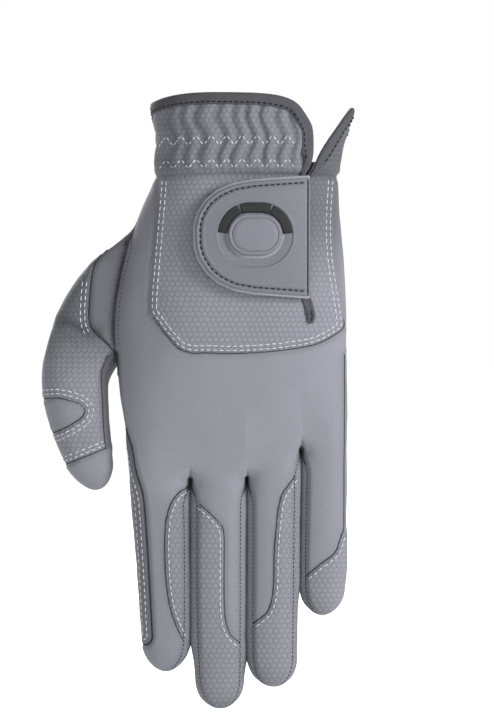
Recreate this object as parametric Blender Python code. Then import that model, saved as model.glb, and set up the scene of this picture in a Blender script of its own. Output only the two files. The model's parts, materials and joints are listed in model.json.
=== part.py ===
"""Left-hand golf glove, filled out as if worn: cuff up, fingers down, back of the hand facing -Y.

The origin is the centre of the flat pad on the palm. +Z points to the cuff, +X to the little finger.
The glove is sewn from thin panels, and each panel is its own closed sheet. Fingers, thumb and closure
tab are jointed: every sleeve is cut where it bends, and hinges on its palm side, where leather creases.
"""

import math

import bmesh
import bpy
from mathutils import Vector

MM = 0.001  # sizes below are in millimetres

# ---------------------------------------------------------------- driving dimensions
CLEARANCE = 0.4  # between neighbouring panels
FABRIC = 0.9  # stretch fabric and leather
OVERLAY_LIFT, OVERLAY = 0.6, 0.6  # panels sewn on top of another one

WRIST_Z = 91.0  # where the hand panels end and the cuff starts
CUFF_THICK = 1.1
FLAP_TOP = 118.0  # height of the flap's tip and of the cuff's corner on the thumb side
FLAP_SHARE = 0.1  # share of the palm edge left free of binding next to the tip
CUFF_PALM_TOP = 98.5  # the cuff is cut low across the palm side
SLIT_LEFT, SLIT_RIGHT, SLIT_BOTTOM = 23.9, 26.9, 39.0  # the wrist opening under the tab
BINDING_WIDTH, BINDING_TAPE = 4.0, 0.6
BINDING_GAP = 0.5  # air between a binding's legs and the panels, so that it clears them at tight bends
SLIT_LEFT_CUFF = 27.6  # the cuff's edge left of the opening, above the wrist
FLAP_EDGE = (  # height and x of the flap's edge, from the wrist to its tip
    (91.0, 26.9), (94.0, 28.4), (97.0, 30.0), (100.3, 31.4), (103.4, 33.2), (109.4, 37.2), (118.0, 42.8),
)

TAB_ROOT_X, TAB_NOSE_X, TAB_Z = 27.4, -17.2, 69.4
TAB_ROUND_X = 8.0  # left of this the tab is rounded
TAB_HALF = 22.3  # half height where the rounding starts
TAB_TAPER = 0.085  # extra half height for each mm towards the root
TAB_LIFT = 3.6  # from the back panel to the tab's lining
BADGE_X, BADGE_Z = 5.8, 67.8
BADGE_HALF_W, BADGE_HALF_H = 14.2, 12.0  # outside of the inlay ring
BUTTON_HALF_W, BUTTON_HALF_H = 9.4, 7.2
INLAY_BAND = 4.2

PALM_PAD = (-22.0, 22.0, -12.0, 30.0)  # low x, high x, low z, high z

# One row for each height: height, left side, right side, back of hand, palm.
HAND_ROWS = (
    (-23.6, -41.4, 41.8, -27.0, -6.4),
    (-8.0, -42.8, 41.9, -30.5, -1.8),
    (21.0, -46.2, 41.9, -34.5, -1.3),
    (40.0, -46.5, 41.7, -36.5, -1.3),
    (58.0, -43.5, 40.6, -38.0, -1.3),
    (76.0, -38.0, 39.0, -39.5, -1.4),
    (92.0, -30.8, 38.4, -41.0, -1.6),
    (106.0, -30.0, 40.2, -43.0, -0.6),
    (124.0, -32.0, 46.0, -46.0, 1.0),
)
FINGER_ROWS = {
    "index": (
        (-24.0, -41.2, -18.4, -26.5, -6.8),
        (-45.0, -39.4, -18.2, -25.3, -6.2),
        (-66.0, -37.8, -18.2, -23.8, -5.4),
        (-86.0, -36.4, -18.8, -22.0, -4.4),
        (-96.5, -35.5, -20.2, -20.8, -3.9),
    ),
    "middle": (
        (-24.0, -17.0, 3.2, -27.0, -6.6),
        (-50.0, -17.0, 3.0, -25.6, -6.0),
        (-80.0, -16.6, 2.9, -23.4, -4.8),
        (-100.0, -15.6, 2.6, -21.6, -3.8),
        (-110.6, -13.8, 2.0, -20.6, -3.5),
    ),
    "ring": (
        (-21.0, 4.4, 23.6, -26.4, -6.6),
        (-50.0, 4.4, 23.2, -25.2, -6.0),
        (-80.0, 4.4, 22.9, -23.2, -4.9),
        (-95.0, 4.8, 22.6, -21.9, -4.0),
        (-102.4, 5.4, 22.0, -21.2, -3.8),
    ),
    "little": (
        (-13.0, 25.4, 41.8, -24.6, -6.8),
        (-35.0, 24.8, 41.8, -23.8, -6.4),
        (-58.0, 24.5, 41.7, -22.4, -5.6),
        (-68.0, 24.8, 40.6, -21.6, -5.0),
        (-75.0, 25.6, 38.6, -21.2, -4.8),
    ),
}
MIDDLE_JOINT_Z = {"index": -58.0, "middle": -63.0, "ring": -59.0, "little": -42.0}
FINGERTIP_ROUND = 10.5
FOURCHETTES = {"index": "r", "middle": "lr", "ring": "lr", "little": "l"}

# One row for each station along the thumb: distance, centre x, centre z, centre y, half width, half depth.
THUMB_ROWS = (
    (-2.9, -36.0, 70.0, -19.0, 5.0, 9.6),
    (12.3, -46.0, 58.5, -18.5, 7.6, 11.0),
    (24.0, -53.2, 49.3, -17.5, 8.8, 11.8),
    (35.4, -58.0, 39.0, -16.6, 10.8, 12.0),
    (46.6, -60.3, 28.0, -15.6, 12.0, 11.8),
    (59.5, -61.9, 15.2, -14.4, 13.0, 11.6),
    (76.7, -60.2, -1.9, -12.8, 11.4, 10.6),
    (92.4, -56.4, -17.1, -11.6, 9.0, 9.6),
    (102.4, -55.1, -27.0, -11.0, 7.6, 8.8),
)
THUMB_BASE_START, THUMB_MIDDLE, THUMB_END = 3.0, 63.0, 102.4
THUMB_EDGE = 100.0  # the fixed base of the thumb ends this many degrees from the little-finger side
THUMB_CUT = ((-70.5, 41.0), (-46.5, 20.0))  # (x, z) at each end of the slanting cut at the thumb's root
GUSSET_TOP_Z, GUSSET_START = 66.0, 12.0
THUMB_HOLE_BACK, THUMB_HOLE_PALM = 12.0, 30.0  # degrees cut from the hand's side for the thumb
HAND_WRAP, INDEX_WRAP = 31.0, 62.0  # degrees that the palm's leather reaches round the index finger's side

ROUNDNESS = 2.4  # 2 is an ellipse, more is boxier
PALM, LITTLE_SIDE = 90.0, 0.0  # degrees round a section, -90 is the back and 180 the thumb side

COLOURS = {
    "stretch_fabric": ((0.30, 0.30, 0.34), 0.75, 0.0),
    "honeycomb_fabric": ((0.23, 0.235, 0.26), 0.7, 0.0),
    "palm_leather": ((0.22, 0.22, 0.25), 0.6, 0.0),
    "binding": ((0.075, 0.075, 0.085), 0.7, 0.0),
    "moulded_rubber": ((0.22, 0.225, 0.25), 0.5, 0.0),
    "dark_rubber": ((0.028, 0.028, 0.03), 0.55, 0.0),
    "elastic": ((0.5, 0.5, 0.5), 0.8, 0.0),
    "hook_and_loop": ((0.18, 0.18, 0.2), 0.95, 0.0),
}


# ---------------------------------------------------------------- curves and surfaces
def spline(rows, s):
    """The values of a smooth curve through rows (station, value, value, ...) at station s."""
    rows = sorted(rows)
    s = min(max(s, rows[0][0]), rows[-1][0])
    k = next(i for i in range(len(rows) - 1) if s <= rows[i + 1][0])
    low, high = rows[k], rows[k + 1]
    before, after = rows[max(k - 1, 0)], rows[min(k + 2, len(rows) - 1)]
    width = high[0] - low[0]
    t = (s - low[0]) / width
    values = []
    for c in range(1, len(low)):
        slope_low = (high[c] - before[c]) / (high[0] - before[0])
        slope_high = (after[c] - low[c]) / (after[0] - low[0])
        values.append(
            low[c] * (1 + 2 * t) * (1 - t) ** 2
            + slope_low * width * t * (1 - t) ** 2
            + high[c] * t * t * (3 - 2 * t)
            + slope_high * width * t * t * (t - 1)
        )
    return values


def power(value):
    """The superellipse's corner function, with the sign of value."""
    return math.copysign(abs(value) ** (2 / ROUNDNESS), value)


def lerp(a, b, t):
    return a + (b - a) * t


def steps(first, last, count):
    return [lerp(first, last, i / count) for i in range(count + 1)]


def smooth_step(low, high, value):
    t = min(max((value - low) / (high - low), 0.0), 1.0)
    return t * t * (3 - 2 * t)


class Tube:
    """A soft sleeve along Z with rounded-box sections, closed to a dome at its tip if it has one."""

    def __init__(self, rows, dome=0.0):
        self.rows = rows
        self.tip = min(row[0] for row in rows)
        self.dome = dome

    def dome_scale(self, distance):
        if distance >= self.dome:
            return 1.0
        return math.sqrt(max(1 - (1 - distance / self.dome) ** 2, 0.01))

    def section(self, z):
        """(centre, side direction, half width, half depth) at height z."""
        left, right, back, palm = spline(self.rows, z)
        scale = self.dome_scale(z - self.tip) if self.dome else 1.0
        centre = Vector(((left + right) / 2, (back + palm) / 2, z))
        return centre, Vector((1, 0, 0)), scale * (right - left) / 2, scale * (palm - back) / 2

    def point(self, degrees, station):
        centre, side, half_width, half_depth = self.section(station)
        angle = math.radians(degrees)
        across = side * half_width * power(math.cos(angle))
        return centre + across + Vector((0, half_depth * power(math.sin(angle)), 0))

    def normal(self, degrees, station):
        """The direction out of the sleeve at a point of its surface."""
        across = self.point(degrees + 0.5, station) - self.point(degrees - 0.5, station)
        along = self.point(degrees, station + 0.02) - self.point(degrees, station - 0.02)
        normal = across.cross(along).normalized()
        outward = self.point(degrees, station) - self.section(station)[0]
        return normal if normal.dot(outward) > 0 else -normal

    def turn(self, degrees, station, distance):
        """The angle reached by going round the sleeve from degrees by a distance."""
        rate = (self.point(degrees + 1, station) - self.point(degrees - 1, station)).length / 2
        return degrees + distance / rate

    def angle_at(self, x, z):
        """The angle, on the back of the hand, of the surface point at x."""
        centre, _, half_width, _ = self.section(z)
        share = min(max((x - centre.x) / half_width, -1.0), 1.0)
        return -math.degrees(math.acos(math.copysign(abs(share) ** (ROUNDNESS / 2), share)))


class ThumbTube(Tube):
    """The thumb's sleeve, whose centre line bends in the XZ plane. Stations are distances along it."""

    def section(self, s):
        x, z, y, half_width, half_depth = spline(self.rows, s)
        ahead, behind = spline(self.rows, s + 0.5), spline(self.rows, s - 0.5)
        along = Vector((ahead[0] - behind[0], 0, ahead[1] - behind[1])).normalized()
        side = Vector((-along.z, 0, along.x))
        scale = self.dome_scale(THUMB_END - s)
        return Vector((x, y, z)), side, half_width * scale, half_depth * scale


HAND = Tube(HAND_ROWS)
FINGERS = {name: Tube(rows, FINGERTIP_ROUND) for name, rows in FINGER_ROWS.items()}
THUMB = ThumbTube(THUMB_ROWS, FINGERTIP_ROUND)


# ---------------------------------------------------------------- scene helpers
def clear_scene():
    for obj in list(bpy.data.objects):
        bpy.data.objects.remove(obj, do_unlink=True)


def make_material(name):
    colour, roughness, metallic = COLOURS[name]
    material = bpy.data.materials.get(name) or bpy.data.materials.new(name)
    material.use_nodes = True
    shader = material.node_tree.nodes["Principled BSDF"]
    shader.inputs["Base Color"].default_value = (*colour, 1.0)
    shader.inputs["Roughness"].default_value = roughness
    shader.inputs["Metallic"].default_value = metallic
    return material


class Body:
    """An empty on a joint's axis. The body's pieces are parented to it."""

    def __init__(self, name, pivot=(0, 0, 0), parent=None):
        self.pivot = Vector(pivot)
        self.empty = bpy.data.objects.new("axis_" + name, None)
        bpy.context.scene.collection.objects.link(self.empty)
        base = Vector((0, 0, 0))
        if parent is not None:
            self.empty.parent = parent.empty
            base = parent.pivot
        self.empty.location = (self.pivot - base) * MM

    def add(self, name, vertices, faces, material):
        """Makes one object from vertices in millimetres in the glove's frame."""
        mesh = bpy.data.meshes.new(name)
        mesh.from_pydata([(v - self.pivot) * MM for v in vertices], [], faces)
        made = bmesh.new()
        made.from_mesh(mesh)
        bmesh.ops.recalc_face_normals(made, faces=made.faces)
        made.to_mesh(mesh)
        made.free()
        mesh.materials.append(make_material(material))
        mesh.shade_smooth()
        mesh.set_sharp_from_angle(angle=math.radians(40))
        obj = bpy.data.objects.new(name, mesh)
        bpy.context.scene.collection.objects.link(obj)
        obj.parent = self.empty
        return obj


# ---------------------------------------------------------------- sheets and channels
def grid_normals(grid):
    """Unit normals of a grid of points."""
    rows, columns = len(grid), len(grid[0])
    normals = []
    for i in range(rows):
        down = [grid[min(i + 1, rows - 1)][j] - grid[max(i - 1, 0)][j] for j in range(columns)]
        across = [grid[i][min(j + 1, columns - 1)] - grid[i][max(j - 1, 0)] for j in range(columns)]
        normals.append([a.cross(d).normalized() for a, d in zip(across, down)])
    return normals


def solid_between(body, name, outer, inner, material, skip=()):
    """One closed solid between two grids of points, without the cells in skip."""
    rows, columns = len(outer), len(outer[0])
    vertices = [p for row in outer for p in row] + [p for row in inner for p in row]
    count = rows * columns

    def at(i, j, layer):
        return layer * count + i * columns + j

    def kept(i, j):
        return 0 <= i < rows - 1 and 0 <= j < columns - 1 and (i, j) not in skip

    faces = []
    for i in range(rows - 1):
        for j in range(columns - 1):
            if not kept(i, j):
                continue
            corners = ((i, j), (i, j + 1), (i + 1, j + 1), (i + 1, j))
            faces.append([at(*c, 0) for c in corners])
            faces.append([at(*c, 1) for c in reversed(corners)])
            beyond = ((i - 1, j), (i, j + 1), (i + 1, j), (i, j - 1))
            for k, cell in enumerate(beyond):
                if not kept(*cell):
                    a, b = corners[k], corners[(k + 1) % 4]
                    faces.append([at(*b, 0), at(*a, 0), at(*a, 1), at(*b, 1)])
    used = sorted({v for face in faces for v in face})
    place = {v: n for n, v in enumerate(used)}
    faces = [[place[v] for v in face] for face in faces]
    return body.add(name, [vertices[v] for v in used], faces, material)


def sheet(body, name, tube, grid, lift, thickness, material, skip=()):
    """A closed sheet on a sleeve. The grid holds (degrees, station) and the sheet starts lift above it."""
    layers = []
    for height in (lift + thickness, lift):
        layers.append([[tube.point(*at) + tube.normal(*at) * height for at in row] for row in grid])
    return solid_between(body, name, layers[0], layers[1], material, skip)


def free_sheet(body, name, grid, outward, material):
    """A sheet of fabric whose outer face is a grid of points, facing roughly outward."""
    normals = grid_normals(grid)
    flip = 1 if normals[len(grid) // 2][len(grid[0]) // 2].dot(outward) > 0 else -1
    inner = [[p - n * flip * FABRIC for p, n in zip(*pair)] for pair in zip(grid, normals)]
    return solid_between(body, name, grid, inner, material)


def channel(body, name, tube, places, heights, width, tape, material):
    """A folded tape over the edge of a panel on a sleeve, with one leg outside and one leg inside it.

    places holds (degrees, station) along the edge, with the panel on its right seen from outside.
    heights is the space between the legs, low and high.
    """
    low, high = heights
    path = [tube.point(*at) for at in places]
    vertices = []
    for i, (degrees, station) in enumerate(places):
        normal = tube.normal(degrees, station)
        ahead = path[min(i + 1, len(path) - 1)] - path[max(i - 1, 0)]
        off_edge = normal.cross(ahead).normalized()
        round_ = tube.point(degrees + 0.5, station) - tube.point(degrees - 0.5, station)
        across = off_edge.dot(round_.normalized()) * width
        under = tube.turn(degrees, station, -across), station - off_edge.z * width
        leg, leg_normal = tube.point(*under), tube.normal(*under)
        edge = path[i] + off_edge * CLEARANCE
        vertices += [leg + leg_normal * (high + tape), edge + off_edge * tape + normal * (high + tape)]
        vertices += [edge + off_edge * tape + normal * (low - tape), leg + leg_normal * (low - tape)]
        vertices += [leg + leg_normal * low, edge + normal * low, edge + normal * high]
        vertices += [leg + leg_normal * high]
    faces = []
    for i in range(len(places) - 1):
        for k in range(8):
            a, b = i * 8 + k, i * 8 + (k + 1) % 8
            faces.append([a, b, b + 8, a + 8])
    for ring in (0, (len(places) - 1) * 8):
        for corners in ((0, 1, 6, 7), (1, 2, 5, 6), (2, 3, 4, 5)):
            faces.append([ring + k for k in corners])
    return body.add(name, vertices, faces, material)


# ---------------------------------------------------------------- hand panels
def on_back(x, z):
    """The place on the hand's sleeve, as (degrees, station), of a point on the back at x."""
    return HAND.angle_at(x, z), z


def finger_line(x):
    """The height at which the hand panels end, which steps up for the ring and the little finger."""
    middle_ring, ring_little = 3.8, 24.3
    root = {name: rows[0][0] for name, rows in FINGER_ROWS.items()}
    step = lerp(root["middle"], root["ring"], smooth_step(middle_ring - 1, middle_ring + 1, x))
    step = lerp(step, root["little"], smooth_step(ring_little - 1, ring_little + 1, x))
    return step + 2 * CLEARANCE


def thumb_opening(z):
    """1 over the hole in the hand's side that leads to the thumb, 0 above and below it."""
    return smooth_step(12, 22, z) * (1 - smooth_step(70, 80, z))


def hand_rows(angles_at, heights, material, name, body, skip=()):
    """A panel on the hand whose last row follows the roots of the fingers."""
    grid = [[(a, z) for a in angles_at(z)] for z in heights]
    last = []
    for a in angles_at(heights[-1]):
        last.append((a, finger_line(HAND.point(a, heights[-1]).x)))
    sheet(body, name, HAND, grid + [last], -FABRIC, FABRIC, material, skip)


def add_hand_panels(hand):
    """Stretch fabric over the back, slit at the wrist, and a leather palm, with room for the thumb."""
    seam = 0.7

    def wrap(z):
        return HAND_WRAP * smooth_step(4.0, -16.0, z)

    def back_angles(z):
        left = HAND.turn(-180 + THUMB_HOLE_BACK * thumb_opening(z) + wrap(z), z, seam / 2)
        right = HAND.turn(LITTLE_SIDE, z, -seam / 2)
        slit = [HAND.angle_at(x, max(z, SLIT_BOTTOM)) for x in (SLIT_LEFT, SLIT_RIGHT)]
        return steps(left, slit[0], 12) + steps(slit[1], right, 4)

    def palm_angles(z):
        left = HAND.turn(180 - THUMB_HOLE_PALM * thumb_opening(z) + wrap(z), z, -seam / 2)
        return steps(HAND.turn(LITTLE_SIDE, z, seam / 2), left, 18)

    heights = steps(WRIST_Z, SLIT_BOTTOM, 5) + [29.0, 22.0, 17.0, 12.0, 4.0, -3.0, -9.5]
    skip = {(row, 12) for row in range(5)}
    hand_rows(back_angles, heights, "stretch_fabric", "back_panel", hand, skip)
    hand_rows(palm_angles, heights, "palm_leather", "palm_panel", hand)


def upper_panel_left(z):
    return spline(((28.0, -32.0), (43.0, -32.6), (67.0, -30.6), (91.0, -28.2)), z)[0]


def upper_panel_right(z):
    return spline(((35.0, 40.0), (46.0, 38.4), (60.0, 36.2), (74.0, 35.4), (91.0, 36.2)), z)[0]


def upper_panel_bottom(x):
    """Lower edge of the honeycomb panel: a cut corner, then a shallow curve."""
    rows = ((-32.6, 41.0), (-22.0, 26.8), (-12.0, 25.7), (1.0, 25.4))
    rows += ((20.0, 27.0), (31.5, 29.6), (40.0, 35.0))
    return spline(rows, x)[0]


def add_upper_back_panel(hand):
    """Honeycomb fabric sewn over the back panel between the wrist and the knuckles."""
    rows, slit_rows, left_columns, right_columns = 9, 6, 11, 4
    top, slit_end = WRIST_Z, SLIT_BOTTOM + 2.5
    share_at_slit = (top - slit_end) / (top - upper_panel_bottom(SLIT_LEFT))
    shares = steps(0.0, share_at_slit, slit_rows) + steps(share_at_slit, 1.0, rows - slit_rows)[1:]
    grid = []
    for share in shares:
        row = []
        for side, count in (("left", left_columns), ("right", right_columns)):
            for across in steps(0.0, 1.0, count):
                bottom_x = lerp(-32.6, SLIT_LEFT, across)
                if side == "right":
                    bottom_x = lerp(SLIT_RIGHT, 40.0, across)
                z = lerp(top, upper_panel_bottom(bottom_x), share)
                first, last = upper_panel_left(z), SLIT_LEFT
                if side == "right":
                    first, last = SLIT_RIGHT, upper_panel_right(z)
                row.append(on_back(lerp(first, last, across), z))
        grid.append(row)
    skip = {(row, left_columns) for row in range(slit_rows)}
    sheet(hand, "upper_back_panel", HAND, grid, OVERLAY_LIFT, OVERLAY, "honeycomb_fabric", skip)


# ---------------------------------------------------------------- thumb root
def cut_side(point, gap):
    """Positive above the slanting plane at the thumb's root moved by gap, negative below it."""
    (x0, z0), (x1, z1) = THUMB_CUT
    length = math.hypot(x1 - x0, z1 - z0)
    return ((point.x - x0) * (z0 - z1) + (point.z - z0) * (x1 - x0)) / length - gap


def cut_station(degrees, gap):
    """The station at which a line along the thumb's sleeve meets the slanting plane."""
    low, high = 5.0, 62.0
    for _ in range(30):
        middle = (low + high) / 2
        if cut_side(THUMB.point(degrees, middle), gap) > 0:
            low = middle
        else:
            high = middle
    return low


def add_thumb_root(hand):
    """The fixed base of the thumb's sleeve, and the gussets that join it to the hand."""
    columns = []
    for a in steps(THUMB_EDGE, 360 - THUMB_EDGE, 10):
        aside = (a - 180) / (180 - THUMB_EDGE)
        crown = 180 + aside * 9, 76.5 - 3 * abs(aside)
        column = [HAND.point(*crown) + HAND.normal(*crown) * (FABRIC + CLEARANCE)]
        for s in steps(THUMB_BASE_START, cut_station(a, CLEARANCE), 6):
            column.append(THUMB.point(a, s))
        columns.append(column)
    grid = [list(row) for row in zip(*columns)]
    free_sheet(hand, "thumb_base", grid, Vector((-1, 0, 0)), "honeycomb_fabric")
    for name, side, hole, material in (
        ("thumb_gusset", -1, THUMB_HOLE_BACK, "stretch_fabric"),
        ("thumb_gusset_palm", 1, THUMB_HOLE_PALM, "palm_leather"),
    ):
        edge_angle = THUMB.turn(side * THUMB_EDGE, 30.0, -side * 2.0)
        end = cut_station(edge_angle, CLEARANCE)
        grid = []
        for t in steps(0.0, 1.0, 8):
            z = lerp(GUSSET_TOP_Z, 21.6, t)
            seam_angle = side * (180 - hole * thumb_opening(z))
            seam = HAND.point(HAND.turn(seam_angle, z, side * 1.2), z)
            edge = THUMB.point(edge_angle, lerp(GUSSET_START, end, t))
            bulge = Vector((0, side * 1.0, 0))
            row = []
            for share in steps(0.0, 1.0, 4):
                row.append(seam.lerp(edge, share) + bulge * math.sin(math.pi * share))
            grid.append(row)
        free_sheet(hand, name, grid, bulge, material)


# ---------------------------------------------------------------- cuff
CUFF_Z = WRIST_Z + 2 * CLEARANCE


def cuff_top(x):
    """Upper edge of the cuff on the back of the hand, arched and rounded down to the slit."""
    rows = ((-32.0, 118.6), (-20.0, 121.4), (-5.0, 123.2), (8.0, 123.2))
    rows += ((15.0, 122.7), (20.5, 121.2), (25.0, 117.5), (27.6, 111.5))
    return spline(rows, x)[0]


def slit_left(z):
    """x of the edge left of the opening: straight under the tab, then further right on the cuff."""
    return lerp(SLIT_LEFT, SLIT_LEFT_CUFF, smooth_step(WRIST_Z, WRIST_Z + 7.0, z))


def cuff_top_angle(share, z):
    """The angle at a share of the way from the thumb side to the slit."""
    return lerp(-179.0, HAND.angle_at(slit_left(z), z), share**0.93)


def flap_angle(z):
    """Where the slit's right edge runs round the wrist: straight up, then out to the flap's tip."""
    return HAND.angle_at(spline(FLAP_EDGE, z)[0], z)


def palm_edge(share, z=None):
    """A place on the cuff's palm side at a share of the way from the flap to the thumb side.

    Without z it is on the upper edge, which dips from the flap's tip and rises to the thumb side.
    """
    dip = smooth_step(0.0, 0.26, share) - smooth_step(0.68, 0.985, share)
    height = lerp(FLAP_TOP, CUFF_PALM_TOP, dip) if z is None else z
    return lerp(flap_angle(height), 179.0, share), height


def add_cuff(hand):
    """The elasticated cuff: its back, its palm side with the flap, and two elastic bands inside."""
    grid = []
    for i in range(6):
        row = []
        for j in range(13):
            z = lerp(CUFF_Z, cuff_top(lerp(-32.0, SLIT_LEFT_CUFF, j / 12)), i / 5)
            row.append((cuff_top_angle(j / 12, z), z))
        grid.append(row)
    sheet(hand, "cuff_back", HAND, grid, 0, CUFF_THICK, "honeycomb_fabric")
    columns = []
    for share in steps(0.0, 1.0, 26):
        columns.append([palm_edge(share, z) for z in steps(CUFF_Z, palm_edge(share)[1], 6)])
    grid = [list(row) for row in zip(*columns)]
    sheet(hand, "cuff_palm", HAND, grid, 0, CUFF_THICK, "honeycomb_fabric")
    for name, low, high in (("wrist_elastic_lower", 94.0, 99.0), ("wrist_elastic_upper", 103.0, 107.0)):
        grid = [[on_back(x, z) for x in steps(-25.0, 17.0, 10)] for z in (low, high)]
        sheet(hand, name, HAND, grid, -1.3, 0.7, "elastic")


def add_binding(hand, name, places):
    heights = (-FABRIC - BINDING_GAP, CUFF_THICK + BINDING_GAP)
    channel(hand, name, HAND, places, heights, BINDING_WIDTH, BINDING_TAPE, "binding")


def add_bindings(hand):
    """Bindings along the cuff's top and both edges of the slit."""
    back = []
    for share in steps(0.0, 1.0, 15):
        z = cuff_top(lerp(-32.0, SLIT_LEFT_CUFF, share))
        back.append((cuff_top_angle(max(share, 0.012), z), z))
    slit_end = SLIT_BOTTOM + 3.4
    slit_z = steps(cuff_top(SLIT_LEFT_CUFF) - 3.0, slit_end, 16)
    add_binding(hand, "binding_back", back + [on_back(slit_left(z), z) for z in slit_z])
    slit_z = steps(slit_end, FLAP_TOP, 14)
    add_binding(hand, "binding_slit", [(flap_angle(z), z) for z in slit_z])
    add_binding(hand, "binding_palm", [palm_edge(share) for share in steps(FLAP_SHARE, 0.997, 26)])


def add_palm_pad(hand):
    """Pad on the heel of the palm. Its outer face is flat, and the origin is on it."""
    low_x, high_x, low_z, high_z = PALM_PAD
    outer, inner = [], []
    for v in steps(1.0, -1.0, 6):
        row = []
        for u in steps(-1.0, 1.0, 6):
            x = (low_x + high_x) / 2 + (high_x - low_x) / 2 * u * (1 - 0.12 * v**4)
            z = (low_z + high_z) / 2 + (high_z - low_z) / 2 * v * (1 - 0.12 * u**4)
            row.append(Vector((x, 0, z)))
        outer.append(row)
        inner.append([HAND.point(-HAND.angle_at(p.x, p.z), p.z) + Vector((0, CLEARANCE, 0)) for p in row])
    solid_between(hand, "palm_pad", outer, inner, "palm_leather")


# ---------------------------------------------------------------- closure tab
def tab_half_height(x, inset=0.0):
    """Half the tab's height at x: a rounded nose, then edges that spread slowly to the root."""
    half = TAB_HALF - inset
    if x >= TAB_ROUND_X:
        return half + (x - TAB_ROUND_X) * TAB_TAPER
    share = (TAB_ROUND_X - x) / (TAB_ROUND_X - TAB_NOSE_X - inset)
    return half * max(1 - min(share, 1.0) ** 2.2, 0.0) ** (1 / 2.2)


def tab_grid(first_x, last_x, inset):
    """A grid over the tab, from its nose to last_x."""
    grid = []
    for v in steps(1.0, -1.0, 8):
        row = []
        for share in (0.0, 0.03, 0.1, 0.2, 0.33, 0.5, 0.7, 0.85, 1.0):
            x = lerp(first_x, last_x, share)
            row.append(on_back(x, TAB_Z + v * tab_half_height(x, inset)))
        grid.append(row)
    return grid


def stadium(half_width, half_height, count, start=0.0, end=360.0):
    """Points round a rounded oblong that is wider than high, as (x, z) offsets."""
    straight = half_width - half_height
    points = []
    for degrees in steps(start, end, count):
        a = math.radians(degrees)
        x = half_height * math.cos(a) + straight * max(-1.0, min(1.0, 2.2 * math.cos(a)))
        points.append((x, half_height * math.sin(a)))
    return points


def add_tab(tab):
    """The closure tab: moulded skin, lining, hooks, and a badge with a raised button and a dark inlay."""
    grid = tab_grid(TAB_NOSE_X + 0.25, TAB_ROOT_X, 0.0)
    sheet(tab, "tab_lining", HAND, grid, TAB_LIFT, 0.6, "honeycomb_fabric")
    grid = tab_grid(TAB_NOSE_X + 1.0, TAB_ROOT_X - 0.3, 0.7)
    sheet(tab, "tab_outer", HAND, grid, TAB_LIFT + 1.0, 1.0, "moulded_rubber")
    grid = [[on_back(x, z) for x in steps(-9.0, 18.0, 5)] for z in steps(TAB_Z + 14, TAB_Z - 14, 4)]
    sheet(tab, "hook_patch", HAND, grid, 2.5, 0.6, "hook_and_loop")
    rings = []
    for k in (0.02, 0.5, 1.0):
        rings.append([(x * k, z * k) for x, z in stadium(BUTTON_HALF_W, BUTTON_HALF_H, 24)])
    add_badge_piece(tab, "badge_button", rings, 5.9, 1.6, "moulded_rubber", closed=True)
    inner = (BADGE_HALF_W - INLAY_BAND, BADGE_HALF_H - INLAY_BAND)
    rings = []
    for t in (0.0, 1.0):
        half_width, half_height = lerp(inner[0], BADGE_HALF_W, t), lerp(inner[1], BADGE_HALF_H, t)
        rings.append(stadium(half_width, half_height, 16, 2.0, 178.0))
    add_badge_piece(tab, "badge_inlay", rings, 5.9, 0.5, "dark_rubber", closed=False)


def add_badge_piece(tab, name, rings, lift, thickness, material, closed):
    """A ring-shaped or round piece lying on the tab: rings of points from the middle outwards."""
    outer, inner = [], []
    for ring in rings:
        points = [HAND.point(*on_back(BADGE_X + x, BADGE_Z + z)) for x, z in ring]
        outer.append([p + Vector((0, -lift - thickness, 0)) for p in points])
        inner.append([p + Vector((0, -lift, 0)) for p in points])
    if not closed:
        solid_between(tab, name, outer, inner, material)
        return
    count = len(rings[0]) - 1
    vertices, faces = [], []
    for layer in (outer, inner):
        vertices.append(sum(layer[0][:count], Vector()) / count)
        vertices += [p for ring in layer[1:] for p in ring[:count]]
    half = len(vertices) // 2
    for base in (0, half):
        for k in range(count):
            n = (k + 1) % count
            faces.append([base, base + 1 + k, base + 1 + n])
            faces.append([base + 1 + k, base + 1 + count + k, base + 1 + count + n, base + 1 + n])
    rim = 1 + count
    for k in range(count):
        n = (k + 1) % count
        faces.append([rim + k, half + rim + k, half + rim + n, rim + n])
    tab.add(name, vertices, faces, material)


def add_loop_patch(hand):
    """The soft half of the closure, sewn on the honeycomb panel under the tab."""
    grid = [[on_back(x, z) for x in steps(-11.0, 19.0, 6)] for z in steps(TAB_Z + 16, TAB_Z - 16, 4)]
    sheet(hand, "loop_patch", HAND, grid, 1.5, 0.6, "hook_and_loop")


# ---------------------------------------------------------------- finger sleeves
DOME_ANGLES = (90, 65, 42, 22, 8)


def split_stations(name):
    """The two runs of heights of a finger's sleeve, above and below its middle joint."""
    root, middle, tip = FINGER_ROWS[name][0][0], MIDDLE_JOINT_Z[name], FINGERS[name].tip
    upper = steps(root, middle + CLEARANCE, 4)
    lower = steps(middle - CLEARANCE, tip + FINGERTIP_ROUND, 3)[:-1]
    lower += [tip + FINGERTIP_ROUND * (1 - math.cos(math.radians(a))) for a in DOME_ANGLES]
    return upper, lower


def strip_grid(tube, first, last, count, stations):
    """A strip along a sleeve between two angles, drawn in by half a seam on each side."""
    grid = []
    for s in stations:
        left, right = tube.turn(first, s, CLEARANCE / 2 + 0.05), tube.turn(last, s, -CLEARANCE / 2 - 0.05)
        grid.append([(a, s) for a in steps(left, right, count)])
    return grid


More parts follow.
